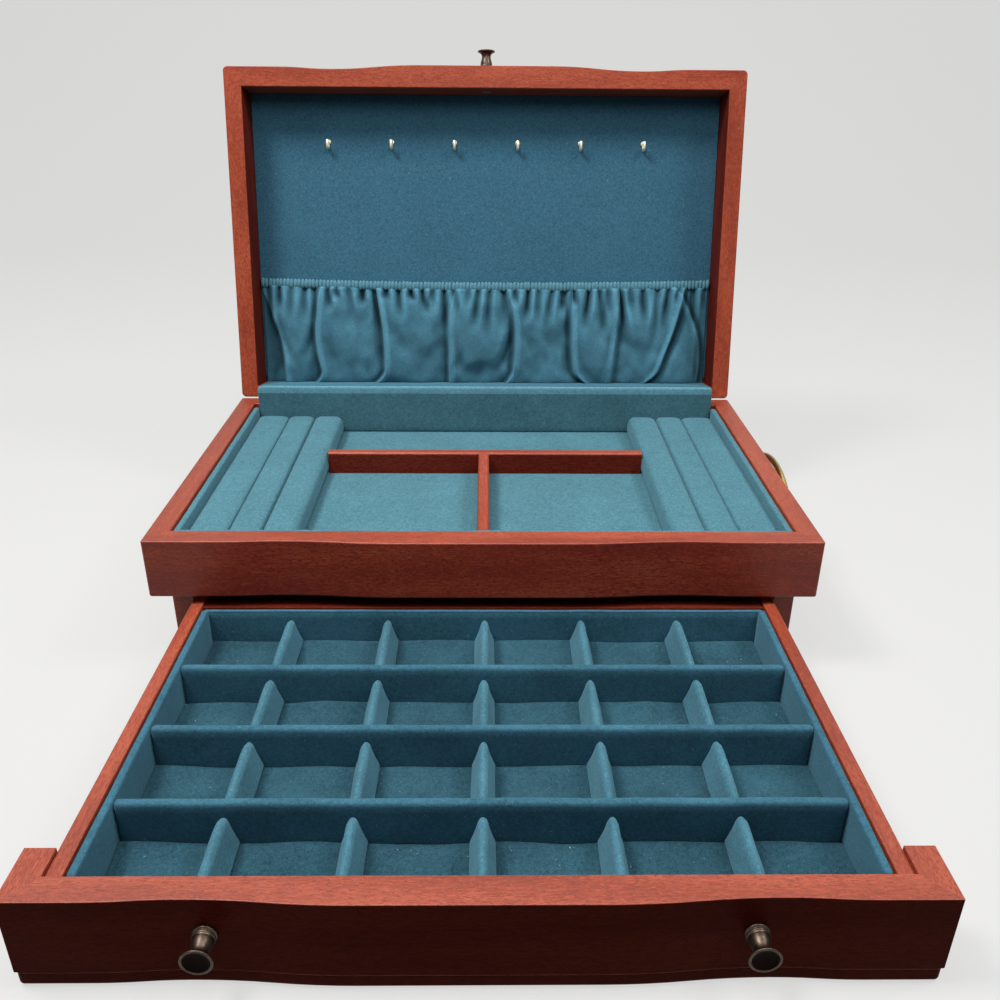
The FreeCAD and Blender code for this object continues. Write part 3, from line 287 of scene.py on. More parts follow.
def wood(name, turn_by=(0, 0, 0), shift=(0, 0, 0), tones=GRAIN_COLOUR, gloss=0.15, shade=1.0, pore=0.8):
    """Lacquered mahogany whose grain runs along X after turning."""
    material, tree, shader, place = new_material(name, Coat_Weight=0.0, Specular_IOR_Level=gloss)
    turned = add_node(tree, "ShaderNodeMapping", {"Vector": place, "Rotation": turn_by, "Location": shift})
    dark, middle, light = [[v * shade for v in colour] for colour in tones]
    grain = add_node(tree, "ShaderNodeGroup", node_tree=GRAIN_GROUP)
    for label, value in (("Vector", turned.outputs[0]), ("Dark", dark), ("Middle", middle), ("Light", light),
                         ("Pore Depth", pore)):
        feed(tree, grain.inputs[label], value)
    feed(tree, shader.inputs["Base Color"], grain.outputs["Color"])
    feed(tree, shader.inputs["Roughness"], grain.outputs["Roughness"])
    bump(tree, shader, grain.outputs["Height"], 0.3, 0.0001)
    return material


# Painted shade: fronts take darker, redder tones, and faces in shade take the inside tones with a low shade factor.
SHADED_FRONT_COLOUR = ((0.180, 0.013, 0.003), (0.315, 0.034, 0.009), (0.520, 0.115, 0.048))
PAINTED_SHADE_COLOUR = ((0.190, 0.022, 0.0126), (0.315, 0.042, 0.0234), (0.450, 0.078, 0.0468))


def wood_set(name, turn_by, shift):
    """The same wood as a plain side, a waxed top, a polished front painted darker as painted shade, and a copy
    painted darker still as painted shade.
    """
    # The front copy is polished and painted darker as painted shade; the last copy is painted shade alone.
    return [wood(name, turn_by, shift), wood(name + "_top", turn_by, shift, gloss=0.5),
            wood(name + "_front", turn_by, shift, SHADED_FRONT_COLOUR, 0.46, 0.83, 1.0),
            wood(name + "_dark", turn_by, shift, PAINTED_SHADE_COLOUR, 0.02, 0.40)]


print("wood tones", len(GRAIN_COLOUR), len(SHADED_FRONT_COLOUR), len(PAINTED_SHADE_COLOUR))

# %% [markdown]
# Pile has no polished face, so velvet gets no specular light, only sheen.
# Brass and bronze are wholly metallic, and their tarnish lies in soft clouds
# that darken the colour and dull the shine a little.

# %% Velvet and metal


def velvet(name, colour=PILE_COLOUR, speckle=0.75, strokes=0.3, sheen=0.3, lift=0.0004):
    """Teal velvet with a soft sheen towards its edges."""
    material, tree, shader, place = new_material(
        name, Roughness=0.95, Sheen_Weight=sheen, Sheen_Roughness=0.45, Sheen_Tint=(0.4, 0.75, 0.9, 1),
        Specular_IOR_Level=0.0)
    pile = add_node(tree, "ShaderNodeGroup", node_tree=PILE_GROUP)
    for label, value in (("Vector", place), ("Color", colour), ("Speckle", speckle), ("Strokes", strokes)):
        feed(tree, pile.inputs[label], value)
    feed(tree, shader.inputs["Base Color"], pile.outputs["Color"])
    bump(tree, shader, pile.outputs["Height"], 0.5, lift)
    return material


def metal(name, colour, rough, patina=0.35, dark=(0.05, 0.035, 0.02), **values):
    """Solid metal with a little tarnish in patches."""
    material, tree, shader, place = new_material(name, **{"Metallic": 1.0, **values})
    cloud = noise_at(tree, place, 420.0, 4.0, 0.65)
    fine = noise_at(tree, place, 2400.0, 2.0, 0.6)
    mask = maths(tree, "MULTIPLY", ramp(tree, cloud, [(0.42, 0), (0.7, 1)]), patina)
    feed(tree, shader.inputs["Base Color"], mix_colour(tree, mask, colour, dark))
    feed(tree, shader.inputs["Roughness"], maths(tree, "ADD", rough, maths(tree, "MULTIPLY", cloud, 0.14)))
    bump(tree, shader, fine, 0.12, 0.00005)
    return material


print("makers", wood.__name__, velvet.__name__, metal.__name__)

# %% [markdown]
# Now each finish of this chest is made once. The rails take one of three grain directions. Each velvet has its own
# depth of colour: the tray's is lighter, and in the drawer the wedges are painted lighter, as painted light, and the
# cells' floors darker, as painted shade.

# %% The chest's woods and velvets
LID_LEAN = math.radians(11.6)
QUARTER = math.pi / 2
ACROSS = wood_set("mahogany_across", (0, 0, 0), (0, 0, 0))
BACKWARDS = wood_set("mahogany_backwards", (0, 0, -QUARTER), (0.31, 0.17, 0.05))
LID_SIDE = wood_set("mahogany_lid_side", (0, QUARTER, 0), (0.11, 0.23, 0.4))
PALE = ((0.2, 0.085, 0.035), (0.36, 0.19, 0.09), (0.47, 0.29, 0.15))
BOARD = wood("plain_board", (0, 0, 0), (0.7, 0.2, 0.1), PALE, pore=0.35)
VELVET = velvet("teal_velvet")
# Copies of one teal painted lighter or darker by where light falls: painted light on the wedges and the rear board's
# top edge, painted shade on the board's face and the cells' floors.
LIT_RIDGE_VELVET = velvet("ridge_painted_light", (0.062, 0.172, 0.232), 0.75, 0.3)
SHADED_FACE_VELVET = velvet("rear_board_painted_shade", (0.058, 0.152, 0.192), 0.85, 0.2)
SHADED_CELL_VELVET = velvet("cell_painted_shade", (0.027, 0.077, 0.106), 0.9, 0.35)
LIT_EDGE_VELVET = velvet("board_edge_painted_light", (0.104, 0.262, 0.335), 0.7, 0.14)
TRAY_VELVET = velvet("tray_velvet", (0.074, 0.186, 0.232), 0.85, 0.14)
FELT = velvet("lid_felt", (0.041, 0.120, 0.182), 0.8, 0.08, 0.2, 0.0002)
PLUSH = velvet("pocket_plush", (0.090, 0.262, 0.366), 0.5, 0.15, 0.4, 0.0002)
print("woods and velvets", len(bpy.data.materials))

# %% [markdown]
# The plush is painted darker in its folds and lighter on its ridges, as painted shade and light. The pocket's mesh
# will carry a number at each point that says how far the point stands out from its surroundings, and a ramp turns it
# into painted shade.

# %% Painted shade in the plush's folds
plush_tree = PLUSH.node_tree
pile_node = next(node for node in plush_tree.nodes if node.type == "GROUP")
FOLD_SPAN = 8.0
fold_here = add_node(plush_tree, "ShaderNodeAttribute", attribute_name="fold").outputs["Fac"]
# Painted shade: points sunk below their surroundings are darkened most, points standing out least.
painted_fold_shade = ramp(plush_tree, maths(plush_tree, "ADD", maths(plush_tree, "MULTIPLY", fold_here, 1 / FOLD_SPAN), 0.5),
                 [(0.0, 0.10), (0.25, 0.27), (0.5, 0.56), (0.85, 0.92)])
folded = mix_colour(plush_tree, 1.0, pile_node.outputs["Color"], painted_fold_shade, "MULTIPLY")
feed(plush_tree, plush_tree.nodes["Principled BSDF"].inputs["Base Color"], folded)
print("plush", len(plush_tree.nodes), "nodes")

# %% [markdown]
# The smaller finishes come last: the cloth of the band, the felt underneath,
# polished brass for the handles and hinges, and dark bronze for the knobs,
# whose worn discs hardly shine at all.

# %% Band, base and metals
BAND_CLOTH = velvet("band_plush", (0.090, 0.225, 0.290), 0.3, 0.1, 0.5, 0.0001)
BASE_FELT = velvet("base_felt", (0.02, 0.1, 0.13), 0.4, 0.2, 0.2)
BRASS = metal("polished_brass", (0.62, 0.45, 0.17), 0.22, 0.45)
HOOK_BRASS = metal("hook_brass", (0.90, 0.82, 0.60), 0.28, 0.05, Metallic=0.7)
BRONZE = metal("dark_bronze", (0.085, 0.063, 0.048), 0.34, 0.7, (0.02, 0.012, 0.010))
DISC = metal("worn_disc", (0.016, 0.008, 0.006), 0.45, 0.5, (0.008, 0.004, 0.003), Metallic=0.0,
             Specular_IOR_Level=0.02)
STEEL = metal("plain_steel", (0.6, 0.6, 0.6), 0.3, 0.2)
print("materials", len(bpy.data.materials))

# %% [markdown]
# The boards keep their CAD solids, whose mitres and mouldings are right, and
# only swap their material. Which direction the grain takes depends on how
# the board was cut: along each rail and moulding.

# %% Dress the boards and the metal
RAILS = [
    (ACROSS, ["case_front_rail", "case_back_rail", "lower_back", "lid_front_rail", "lid_back_rail", "lid_top_panel",
              "drawer_front", "drawer_back", "tray_long_divider", "case_base_moulding", "drawer_base_moulding"]),
    (BACKWARDS, ["case_left_rail", "case_right_rail", "lower_left_side", "lower_right_side", "drawer_left_side",
                 "drawer_right_side", "drawer_left_return", "drawer_right_return", "tray_short_divider"]),
    (LID_SIDE, ["lid_left_rail", "lid_right_rail"]),
]
PLAIN = [
    (BOARD, ["case_floor", "tray_bottom_board", "drawer_guides", "drawer_kickers", "drawer_bottom"]),
    (BRASS, ["handle_posts_left", "handle_posts_right", "bail_left", "bail_right", "hinge_case_leaves",
             "hinge_lid_leaves", "hinge_case_screws", "hinge_lid_screws"]),
    (STEEL, ["hinge_pins", "lid_knob_screw", "drawer_knob_screws"]),
]


def dress(node, materials):
    """Gives a node its materials, all faces taking the first."""
    mesh = NODES[node].data
    mesh.materials.clear()
    for material in materials:
        mesh.materials.append(material)
    for polygon in mesh.polygons:
        polygon.material_index = 0
    return mesh


print("rails", sum(len(names) for kind, names in RAILS))

# %% [markdown]
# A rail's faces are finished apart: the top is waxed by hands, and the front is polished, mirrors the table and is
# also painted darker and redder, as painted shade. The inner faces of the lid's side rails, the drawer's faces and
# back and the front faces of the tray's dividers are painted darker still, as painted shade where they lie in shade.
# The direction of each face says which of the set it gets.

# %% Gloss and painted shade by side
PLAIN_SIDE, WAXED_TOP, GLOSSY_SHADED_FRONT, PAINTED_SHADE = range(4)
MOULDING_WIDTH = 0.0101


def which_side(name, centre, normal):
    """Which of a wood set's four copies a face takes: plain, waxed top, polished front with painted shade, or painted
    shade alone.
    """
    # Painted shade: the drawer's back and fronts, the tray's front faces and the lid's inner side faces take the
    # darkest copy, other fronts the polished copy painted darker.
    if name == "drawer_back" or name.startswith("tray_") and normal.y < -0.88:
        return PAINTED_SHADE
    if name.startswith("lid_"):
        inside = name in ("lid_left_rail", "lid_right_rail") and centre.x * normal.x < 0 and abs(normal.x) > 0.7
        return PAINTED_SHADE if inside else PLAIN_SIDE
    if normal.z > 0.6:
        return WAXED_TOP
    if normal.y < -0.6:
        return PAINTED_SHADE if name.startswith("drawer_") else GLOSSY_SHADED_FRONT
    return PLAIN_SIDE


for wood_of, names in RAILS:
    for name in names:
        mouldings = name.endswith("base_moulding")
        mesh = dress(name, wood_of + (BACKWARDS if mouldings else []))
        low_x = min(v.co.x for v in mesh.vertices)
        for polygon in mesh.polygons:
            centre = polygon.center
            at_end = abs(centre.x) > abs(low_x) - MOULDING_WIDTH and abs(polygon.normal.y) < 0.9
            polygon.material_index = which_side(name, centre, polygon.normal) + (4 if mouldings and at_end else 0)
for material, names in PLAIN:
    for name in names:
        dress(name, [material])
print("dressed", sum(len(names) for kind, names in RAILS + PLAIN), "nodes")

# %% [markdown]
# Turned and bent metal needs round outlines close up. A lathe is the way a
# knob is really made: one profile, spun about its axis. The knob's disc has
# a worn rim and a darker face, so the profile is split at the rim.

# %% Turned knobs
KNOB_PROFILE = [
    (0.0, 0.0), (4.9, 0.0), (4.9, 0.9), (4.6, 1.25), (4.15, 1.5), (4.2, 1.75), (4.65, 2.0), (4.75, 2.35),
    (4.6, 2.7), (4.25, 3.0), (4.3, 3.6), (4.2, 4.5), (3.95, 5.6), (3.6, 6.8), (3.3, 7.8), (3.2, 8.7),
    (3.3, 9.6), (3.7, 10.5), (4.5, 11.3), (5.5, 11.9), (6.25, 12.15), (6.35, 12.4), (6.25, 12.75),
    (5.95, 13.0), (5.6, 12.95), (5.3, 12.75), (3.5, 12.5), (1.2, 12.4), (0.0, 12.4),
]
print("knob profile", len(KNOB_PROFILE), "points")

# %% [markdown]
# A few mesh helpers serve all the pieces below. Each piece is one object at
# the origin, with its place in its mesh, as the CAD pieces are.

# %% Mesh helpers


def in_scene(name, data):
    """A new object in the scene, at the origin."""
    piece = bpy.data.objects.new(name, data)
    bpy.context.scene.collection.objects.link(piece)
    return piece


def one_finish(mesh, material, smooth=True):
    """Gives every face of a mesh the same material."""
    mesh.materials.clear()
    mesh.materials.append(material)
    for polygon in mesh.polygons:
        polygon.material_index = 0
        polygon.use_smooth = smooth or polygon.use_smooth


def own_mesh(name, vertices, faces, material):
    """A smooth piece from points and faces, with its place in its mesh."""
    mesh = bpy.data.meshes.new(name)
    mesh.from_pydata([tuple(v) for v in vertices], [], faces)
    mesh.update()
    one_finish(mesh, material)
    return in_scene(name, mesh)


print("mesh helpers", *[f.__name__ for f in (in_scene, one_finish, own_mesh)])

# %% [markdown]
# A made mesh may hold doubled points and faces that point inwards, so both
# are put right before it is used. Pieces of one body that belong together
# are joined.

# %% Clean and join


def outwards(piece):
    """Merges doubles and turns every face outwards."""
    work = bmesh.new()
    work.from_mesh(piece.data)
    bmesh.ops.remove_doubles(work, verts=work.verts, dist=1e-7)
    bmesh.ops.recalc_face_normals(work, faces=work.faces)
    work.to_mesh(piece.data)
    work.free()
    piece.data.update()
    return piece


def join(name, pieces, material):
    """Joins pieces of one body into one object."""
    work = bmesh.new()
    for piece in pieces:
        work.from_mesh(piece.data)
        bpy.data.objects.remove(piece)
    mesh = bpy.data.meshes.new(name)
    work.to_mesh(mesh)
    work.free()
    one_finish(mesh, material, smooth=False)
    return in_scene(name, mesh)


print("cleaners", outwards.__name__, join.__name__)

# %% [markdown]
# The lathe turns the profile about an axis in even steps. The point on the
# axis is a tiny ring, so that the ends close with one flat face.

# %% The lathe


def lathe(name, profile, base, along, material, sides=40):
    """Spins a (radius, height) profile in millimetres about its axis."""
    axis = along.normalized()
    side = axis.cross(Vector((1, 0, 0)) if abs(axis.x) < 0.5 else Vector((0, 0, 1))).normalized()
    up = axis.cross(side)
    vertices, faces = [], []
    for radius, height in profile:
        for k in range(sides):
            angle = 2 * math.pi * k / sides
            spoke = side * math.cos(angle) + up * math.sin(angle)
            vertices.append(base + (axis * height + spoke * max(radius, 0.001)) / 1000)
    for i in range(len(profile) - 1):
        for k in range(sides):
            a, b = i * sides + k, i * sides + (k + 1) % sides
            faces.append((a, b, b + sides, a + sides))
    for i in (0, len(profile) - 1):
        faces.append(tuple(range(i * sides, (i + 1) * sides)))
    return outwards(own_mesh(name, vertices, faces, material))


print("lathe", lathe.__name__, "radius to", max(radius for radius, height in KNOB_PROFILE), "mm")

# %% [markdown]
# Each knob stands where its CAD solid stands. The faces within the rim of the
# disc get the dark finish.

# %% Knobs in place
KNOB_RADIUS = 0.00635
KNOB_HALF_LENGTH = 0.0065
DISC_RADIUS, DISC_FROM = 0.0052, 0.0056


def knobs(name, node, out_axis):
    """A turned knob on every seat of a CAD node."""
    low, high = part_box(node)
    pair = high.x - low.x > 4 * KNOB_RADIUS
    rows = [low.x + KNOB_RADIUS, high.x - KNOB_RADIUS] if pair else [(low.x + high.x) / 2]
    middles = [Vector((x, (low.y + high.y) / 2, (low.z + high.z) / 2)) for x in rows]
    made = [lathe(name + str(i), KNOB_PROFILE, middle - out_axis * KNOB_HALF_LENGTH, out_axis, BRONZE)
            for i, middle in enumerate(middles)]
    piece = join(name, made, BRONZE)
    piece.data.materials.append(DISC)
    for polygon in piece.data.polygons:
        for middle in middles:
            arm = polygon.center - middle
            reach = arm.dot(out_axis)
            if reach > DISC_FROM and (arm - out_axis * reach).length < DISC_RADIUS:
                polygon.material_index = 1
    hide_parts(node)
    return piece


LID_UP = Vector((0, math.sin(LID_LEAN), math.cos(LID_LEAN)))
LID_OUT = Vector((0, -math.cos(LID_LEAN), math.sin(LID_LEAN)))
drawer_pulls = knobs("drawer_pulls", "drawer_knobs", Vector((0, -1, 0)))
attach(drawer_pulls, "drawer")
lid_pull = knobs("lid_pull", "lid_knob", LID_UP)
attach(lid_pull, "lid")
print("knobs", len(drawer_pulls.data.polygons) + len(lid_pull.data.polygons), "faces")

# %% [markdown]
# On every soft piece the velvet wraps a board or a pad, so its edges are
# round and its faces swell a little. A rounded box made of a fine grid of
# points is the start: each point may then be moved by a rule, such as a
# crown over the middle, a dish, or shallow wrinkles from seeded noise.

# %% Soft blocks
EDGE_STEPS = 3


def soft_block(low, high, radius, step, shape=None):
    """Points and faces of a closed box with rounded edges and a fine grid.

    The grid's points are moved by shape(point, across) where it is given."""
    sizes = [high[n] - low[n] for n in range(3)]
    rounds = [min(radius, 0.49 * size) for size in sizes]
    totals = [max(2, min(110, round(sizes[n] / step[n]))) + 2 * EDGE_STEPS for n in range(3)]
    index, vertices, faces = {}, [], []

    def spread(i, n):
        """Even steps, with extra ones near each end for the round edge."""
        r = rounds[n]
        marks = [0, 0.1 * r, 0.35 * r, r]
        if i <= EDGE_STEPS:
            return low[n] + marks[i]
        if i >= totals[n] - EDGE_STEPS:
            return high[n] - marks[totals[n] - i]
        return low[n] + r + (sizes[n] - 2 * r) * (i - EDGE_STEPS) / (totals[n] - 2 * EDGE_STEPS)

    def corner(i, j, k):
        key = (i, j, k)
        if key not in index:
            point = Vector((spread(i, 0), spread(j, 1), spread(k, 2)))
            core = Vector([min(max(point[n], low[n] + rounds[n]), high[n] - rounds[n]) for n in range(3)])
            offset = point - core
            if offset.length > 0:
                reach = max(abs(offset[n]) for n in range(3))
                point = core + offset.normalized() * reach
            if shape:
                across = [(point[n] - low[n]) / sizes[n] for n in range(3)]
                point = shape(point, across)
            index[key] = len(vertices)
            vertices.append(point)
        return index[key]

    for n in range(3):
        a, b = [m for m in range(3) if m != n]
        for end in (0, totals[n]):
            for i in range(totals[a]):
                for j in range(totals[b]):
                    quad = []
                    for di, dj in ((0, 0), (1, 0), (1, 1), (0, 1)):
                        place = {n: end, a: i + di, b: j + dj}
                        quad.append(corner(place[0], place[1], place[2]))
                    faces.append(tuple(quad))
    return vertices, faces


print("blocks", soft_block.__name__)

# %% [markdown]
# Several soft blocks make one object, which rides on a body in place of its CAD nodes.

# %% Soft pieces


def soft_piece(name, blocks, material, body, nodes, fill=None, flat=None, rests_on=None):
    """One object from soft blocks, riding on its body in place of nodes.
    flat is the cut size of a cloth that is glued down flat; it is not used."""
    vertices, faces = [], []
    for block_vertices, block_faces in blocks:
        base = len(vertices)
        vertices += block_vertices
        faces += [tuple(base + v for v in face) for face in block_faces]
    piece = outwards(own_mesh(name, vertices, faces, material))
    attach(piece, body)
    if nodes:
        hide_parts(*nodes)
    print(name, len(piece.data.polygons), "faces")
    return piece


print("piece maker", soft_piece.__name__)

# %% [markdown]
# A CAD node may hold several solids, such as three bars of foam, and each has
# its own box. Noise with a seed moves the points of a soft piece, so each run
# gives the same wrinkles.

# %% Boxes and noise


def parts_of(node):
    """The box of each separate solid in a CAD node."""
    work = bmesh.new()
    work.from_mesh(NODES[node].data)
    bmesh.ops.remove_doubles(work, verts=work.verts, dist=1e-6)
    boxes, seen = [], set()
    for start in work.verts:
        if start.index in seen:
            continue
        stack, group = [start], []
        seen.add(start.index)
        while stack:
            vertex = stack.pop()
            group.append(vertex.co.copy())
            for edge in vertex.link_edges:
                other = edge.other_vert(vertex)
                if other.index not in seen:
                    seen.add(other.index)
                    stack.append(other)
        low = Vector([min(p[n] for p in group) for n in range(3)])
        high = Vector([max(p[n] for p in group) for n in range(3)])
        boxes.append((low, high))
    work.free()
    return boxes


def ripple(point, scale, seed):
    """Smooth noise between -1 and 1 at a place."""
    return noise.noise(point * scale + Vector((seed, seed * 1.7, seed * 0.3)))


print("foam bars", len(parts_of("ring_roll_left") + parts_of("ring_roll_right")))

# %% [markdown]
# The tray is lined with velvet over thin card. The strips along its walls
# have soft round tops, and the rear board stands higher, with round corners.
# The floor is felt glued flat, so it barely moves; only its edge dips.

# %% Tray lining and floor


def wall_swell(amount, seed):
    """A shape rule: faces swell slightly, with soft uneven places."""

    def shape(point, across):
        for n in range(3):
            point[n] += amount * ripple(point, 45, seed + n)
        return point

    return shape


def glued_felt(name, node, step, material, rests_on):
    """A flat sheet of felt in place of a node of the case."""
    low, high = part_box(node)
    sheet = soft_block(low, high, 0.0005, (step, step, 0.003))
    return soft_piece(name, [sheet], material, "case", [node],
                      flat=(round(high.x - low.x, 4), round(high.y - low.y, 4)), rests_on=rests_on)


low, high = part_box("tray_lining")
STRIP = 0.004
strips = [(Vector((low.x, low.y, low.z)), Vector((low.x + STRIP, high.y, high.z))),
          (Vector((high.x - STRIP, low.y, low.z)), high.copy()),
          (Vector((low.x + 0.5 * STRIP, low.y, low.z)), Vector((high.x - 0.5 * STRIP, low.y + STRIP, high.z)))]
soft_piece("tray_strips", [soft_block(a, b, 0.0017, (0.006, 0.006, 0.004), wall_swell(0.00018, 3))
                           for a, b in strips], TRAY_VELVET, "case", ["tray_lining"])
glued_felt("tray_felt", "tray_floor", 0.008, TRAY_VELVET, "tray_bottom_board")

# %% [markdown]
# The rear board is the back stop of the tray. Its top corners are rounded in its own plane. Its top edge is painted
# lighter, as painted light, and its front face darker, as painted shade.

# %% Rear board
BOARD_CORNER = 0.003
BOARD_EDGE = 0.0045


def board_shape(low, high, radius):
    """Rounds the two top corners of the upright board in its own plane."""

    def shape(point, across):
        for side, edge in ((1, high.x), (-1, low.x)):
            inner = edge - side * radius
            if side * (point.x - inner) > 0 and point.z > high.z - radius:
                corner = Vector((inner, 0, high.z - radius))
                offset = Vector((point.x, 0, point.z)) - corner
                reach = max(abs(offset.x), abs(offset.z))
                if offset.length > 1e-6:
                    moved = corner + offset.normalized() * reach
                    point.x, point.z = moved.x, moved.z
        point.y += 0.0002 * ripple(point, 40, 9)
        return point

    return shape


low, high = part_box("tray_rear_board")
rear_block = soft_block(low, high, 0.0016, (0.004, 0.002, 0.004), board_shape(low, high, BOARD_CORNER))
rear_cloth = soft_piece("rear_board_cloth", [rear_block], TRAY_VELVET, "case", ["tray_rear_board"])
# Two more velvets: painted light along the top edge, painted shade on the front face.
rear_cloth.data.materials.append(SHADED_FACE_VELVET)
rear_cloth.data.materials.append(LIT_EDGE_VELVET)
for polygon in rear_cloth.data.polygons:
    if polygon.center.z > high.z - BOARD_EDGE:
        polygon.material_index = 2
    elif polygon.normal.y < -0.8:
        polygon.material_index = 1
print("rear board", len(rear_cloth.data.polygons), "faces")

# %% [markdown]
# A ring roll is a bar of foam wrapped in velvet. Three stand side by side so
# that rings slip into the slits between them. The bars bulge at the top,
# pinch towards the slits and carry faint creases across, where the cloth
# was pulled over the foam.

# %% Ring rolls


def roll_shape(low, high, seed, inner_side):
    """A crowned foam bar with creases across its length."""
    half = (high.x - low.x) / 2
    middle = (high.x + low.x) / 2

    def shape(point, across):
        s = (point.x - middle) / half
        up = max(0.0, (across[2] - 0.35) / 0.65)
        crease = ripple(Vector((point.x * 0.5, point.y * 3.2, 0)), 42, seed)
        fine = ripple(Vector((point.x * 0.8, point.y * 3.0, point.z)), 110, seed + 5)
        point.z -= up * (0.0011 * s * s * s * s + 0.0004 * abs(crease) + 0.0001 * fine + 0.0002)
        end = max(0.0, (across[1] - 0.965) / 0.035)
        point.z -= up * 0.0036 * end * end
        point.y -= 0.0016 * end * s ** 4
        if abs(s - inner_side) < 0.25 and inner_side:
            point.x += inner_side * up * (-0.0006) + 0.0004 * crease * (1 - abs(2 * across[2] - 1))
        return point

    return shape


for side, node in (("left", "ring_roll_left"), ("right", "ring_roll_right")):
    blocks = []
    boxes = sorted(parts_of(node), key=lambda box: abs(box[0].x + box[1].x))
    for i, (low, high) in enumerate(boxes):
        inner = 0 if i else (1 if side == "left" else -1)
        radius = 0.0042 if i == 0 else 0.0022
        shape = roll_shape(low, high, 11 + 7 * i, inner)
        blocks.append(soft_block(low, high, radius, (0.0016, 0.0022, 0.002), shape))
    soft_piece("ring_rolls_" + side, blocks, TRAY_VELVET, "case", [node], fill=0.9)

# %% [markdown]
# The drawer's insert is velvet over card walls. The long walls run from side
# to side with round tops. The short ones are wedges of folded card, wide at
# the floor and thin at the ridge, under one stretched piece of cloth, so the
# cloth bridges the corners where a wedge meets a wall.

# %% Drawer insert walls
for name, node, radius, step, swell, seed in (
        ("insert_wall_cloth", "insert_walls", 0.0018, (0.006, 0.006, 0.004), 0.00018, 21),
        ("long_divider_cloth", "insert_long_dividers", 0.0021, (0.004, 0.002, 0.004), 0.00022, 31)):
    blocks = [soft_block(a, b, radius, step, wall_swell(swell, seed)) for a, b in parts_of(node)]
    soft_piece(name, blocks, VELVET, "drawer", [node])


def wedge_shape(low, high, seed):
    """Narrows a block to a round ridge that drops at its two ends."""
    middle = (low.x + high.x) / 2

    def shape(point, across):
        end = abs(2 * across[1] - 1)
        t = across[2]
        width = 0.36 + 0.64 * (1 - t) ** 1.25
        if t > 0.8:
            width *= math.sqrt(max(0.03, 1 - ((t - 0.8) / 0.2) ** 2))
        taper = 1.0 - 0.35 * end ** 8 * t
        point.x = middle + (point.x - middle) * width * taper + 0.0003 * ripple(point, 60, seed)
        point.z -= t * (0.0028 * end ** 8 + 0.0002)
        return point

    return shape


into_wall = Vector((0, 0.0002, 0))
wedges = [soft_block(low - into_wall, high + into_wall, 0.0012, (0.0016, 0.0028, 0.0011),
                     wedge_shape(low, high, 40 + i))
          for i, (low, high) in enumerate(parts_of("insert_short_dividers"))]
# The wedges' velvet is painted lighter, as painted light on the ridges.
soft_piece("wedge_cloth", wedges, LIT_RIDGE_VELVET, "drawer", ["insert_short_dividers"])

# %% [markdown]
# The floor of each cell is a thin pad. It sags in the middle and rises
# towards the walls, which gives the cells their soft, shaded corners.

# %% Cell floors
CELL_PITCH = 0.0548
SAG = 0.0020


def dished(high, seed):
    """Sinks the pad between the wedges and lifts it at their feet."""

    def shape(point, across):
        if across[2] < 0.5:
            return point
        x = point.x / CELL_PITCH
        end_cell = 2 * CELL_PITCH
        inside = abs(x) < 2.0
        u = 2 * abs((x % 1.0) - 0.5) if inside else max(0.0, 1 - (abs(point.x) - end_cell) / (high.x - end_cell))
        v = abs(2 * across[1] - 1)
        sag = (1 - (1 - u if inside else abs(2 * u - 1)) ** 3) * (1 - v ** 4)
        point.z -= SAG * max(0.0, sag) - 0.00035 * ripple(point, 70, seed) - 0.0003
        point.z += SAG * v ** 2 * ripple(point, 30, seed + 9)
        return point

    return shape


pads = [soft_block(a, b, 0.0012, (0.003, 0.003, 0.004), dished(b, 50 + i))
        for i, (a, b) in enumerate(parts_of("insert_floors"))]
# The pads' velvet is painted darker, as painted shade on the cells' floors.
soft_piece("cell_pads", pads, SHADED_CELL_VELVET, "drawer", ["insert_floors"], fill=0.35)

# %% [markdown]
# The lid is lined with a flat felt panel. It is drawn in the lid's own
# directions: across, up from the hinges along the panel, and out from it.

# %% Lid lining
HINGE_LINE = Vector((0, 0.1199, 0.0842))
LINING_OUT = 0.0276
PANEL_HALF, PANEL_FROM, PANEL_TO = 0.1771, 0.0129, 0.2252


def on_lid(x, up, out):
    """A place on the lid: across, up from the hinge edge, out from the lining."""
    base = HINGE_LINE + LID_UP * (up + 0.0004)
    return Vector((x, 0, 0)) + base - LID_OUT * (LINING_OUT - out)


def lid_block(x0, x1, up0, up1, out0, out1, radius, step, rule=None):
    """A soft block in the lid's directions."""

    def shape(point, across):
        if rule:
            point = rule(point, across)
        return on_lid(point.x, point.y, point.z)

    return soft_block(Vector((x0, up0, out0)), Vector((x1, up1, out1)), radius, step, shape)


def lining_rule(point, across):
    """The felt's face is a little uneven; its back lies flat."""
    if across[2] > 0.5:
        point.z += 0.00012 * ripple(point, 30, 61)
    return point


panel_block = lid_block(-PANEL_HALF, PANEL_HALF, PANEL_FROM, PANEL_TO, -0.0023, -0.0001, 0.0003,
                        (0.006, 0.006, 0.003), lining_rule)
soft_piece("lid_felt_panel", [panel_block], FELT, "lid", ["lid_lining"],
           flat=(0.3542, 0.2123), rests_on="lid_top_panel")

# %% [markdown]
# The pocket is the showpiece: a strip of plush, cut wider than the lid,
# gathered on an elastic along its top and caught in nine deep folds. Between
# two folds the cloth billows out. A height rule over a fine sheet gives that
# shape exactly where the folds run. First come the sizes: for each fold, the
# places across at its top, middle and bottom, and for each swag its middle.

# %% Gathered pocket
POCKET_LOW = 0.0092
POCKET_HALF = 0.1752
BAND_CENTRE, BAND_SAG = 0.0868, 0.0026
BAND_HALF_HEIGHT = 0.0033
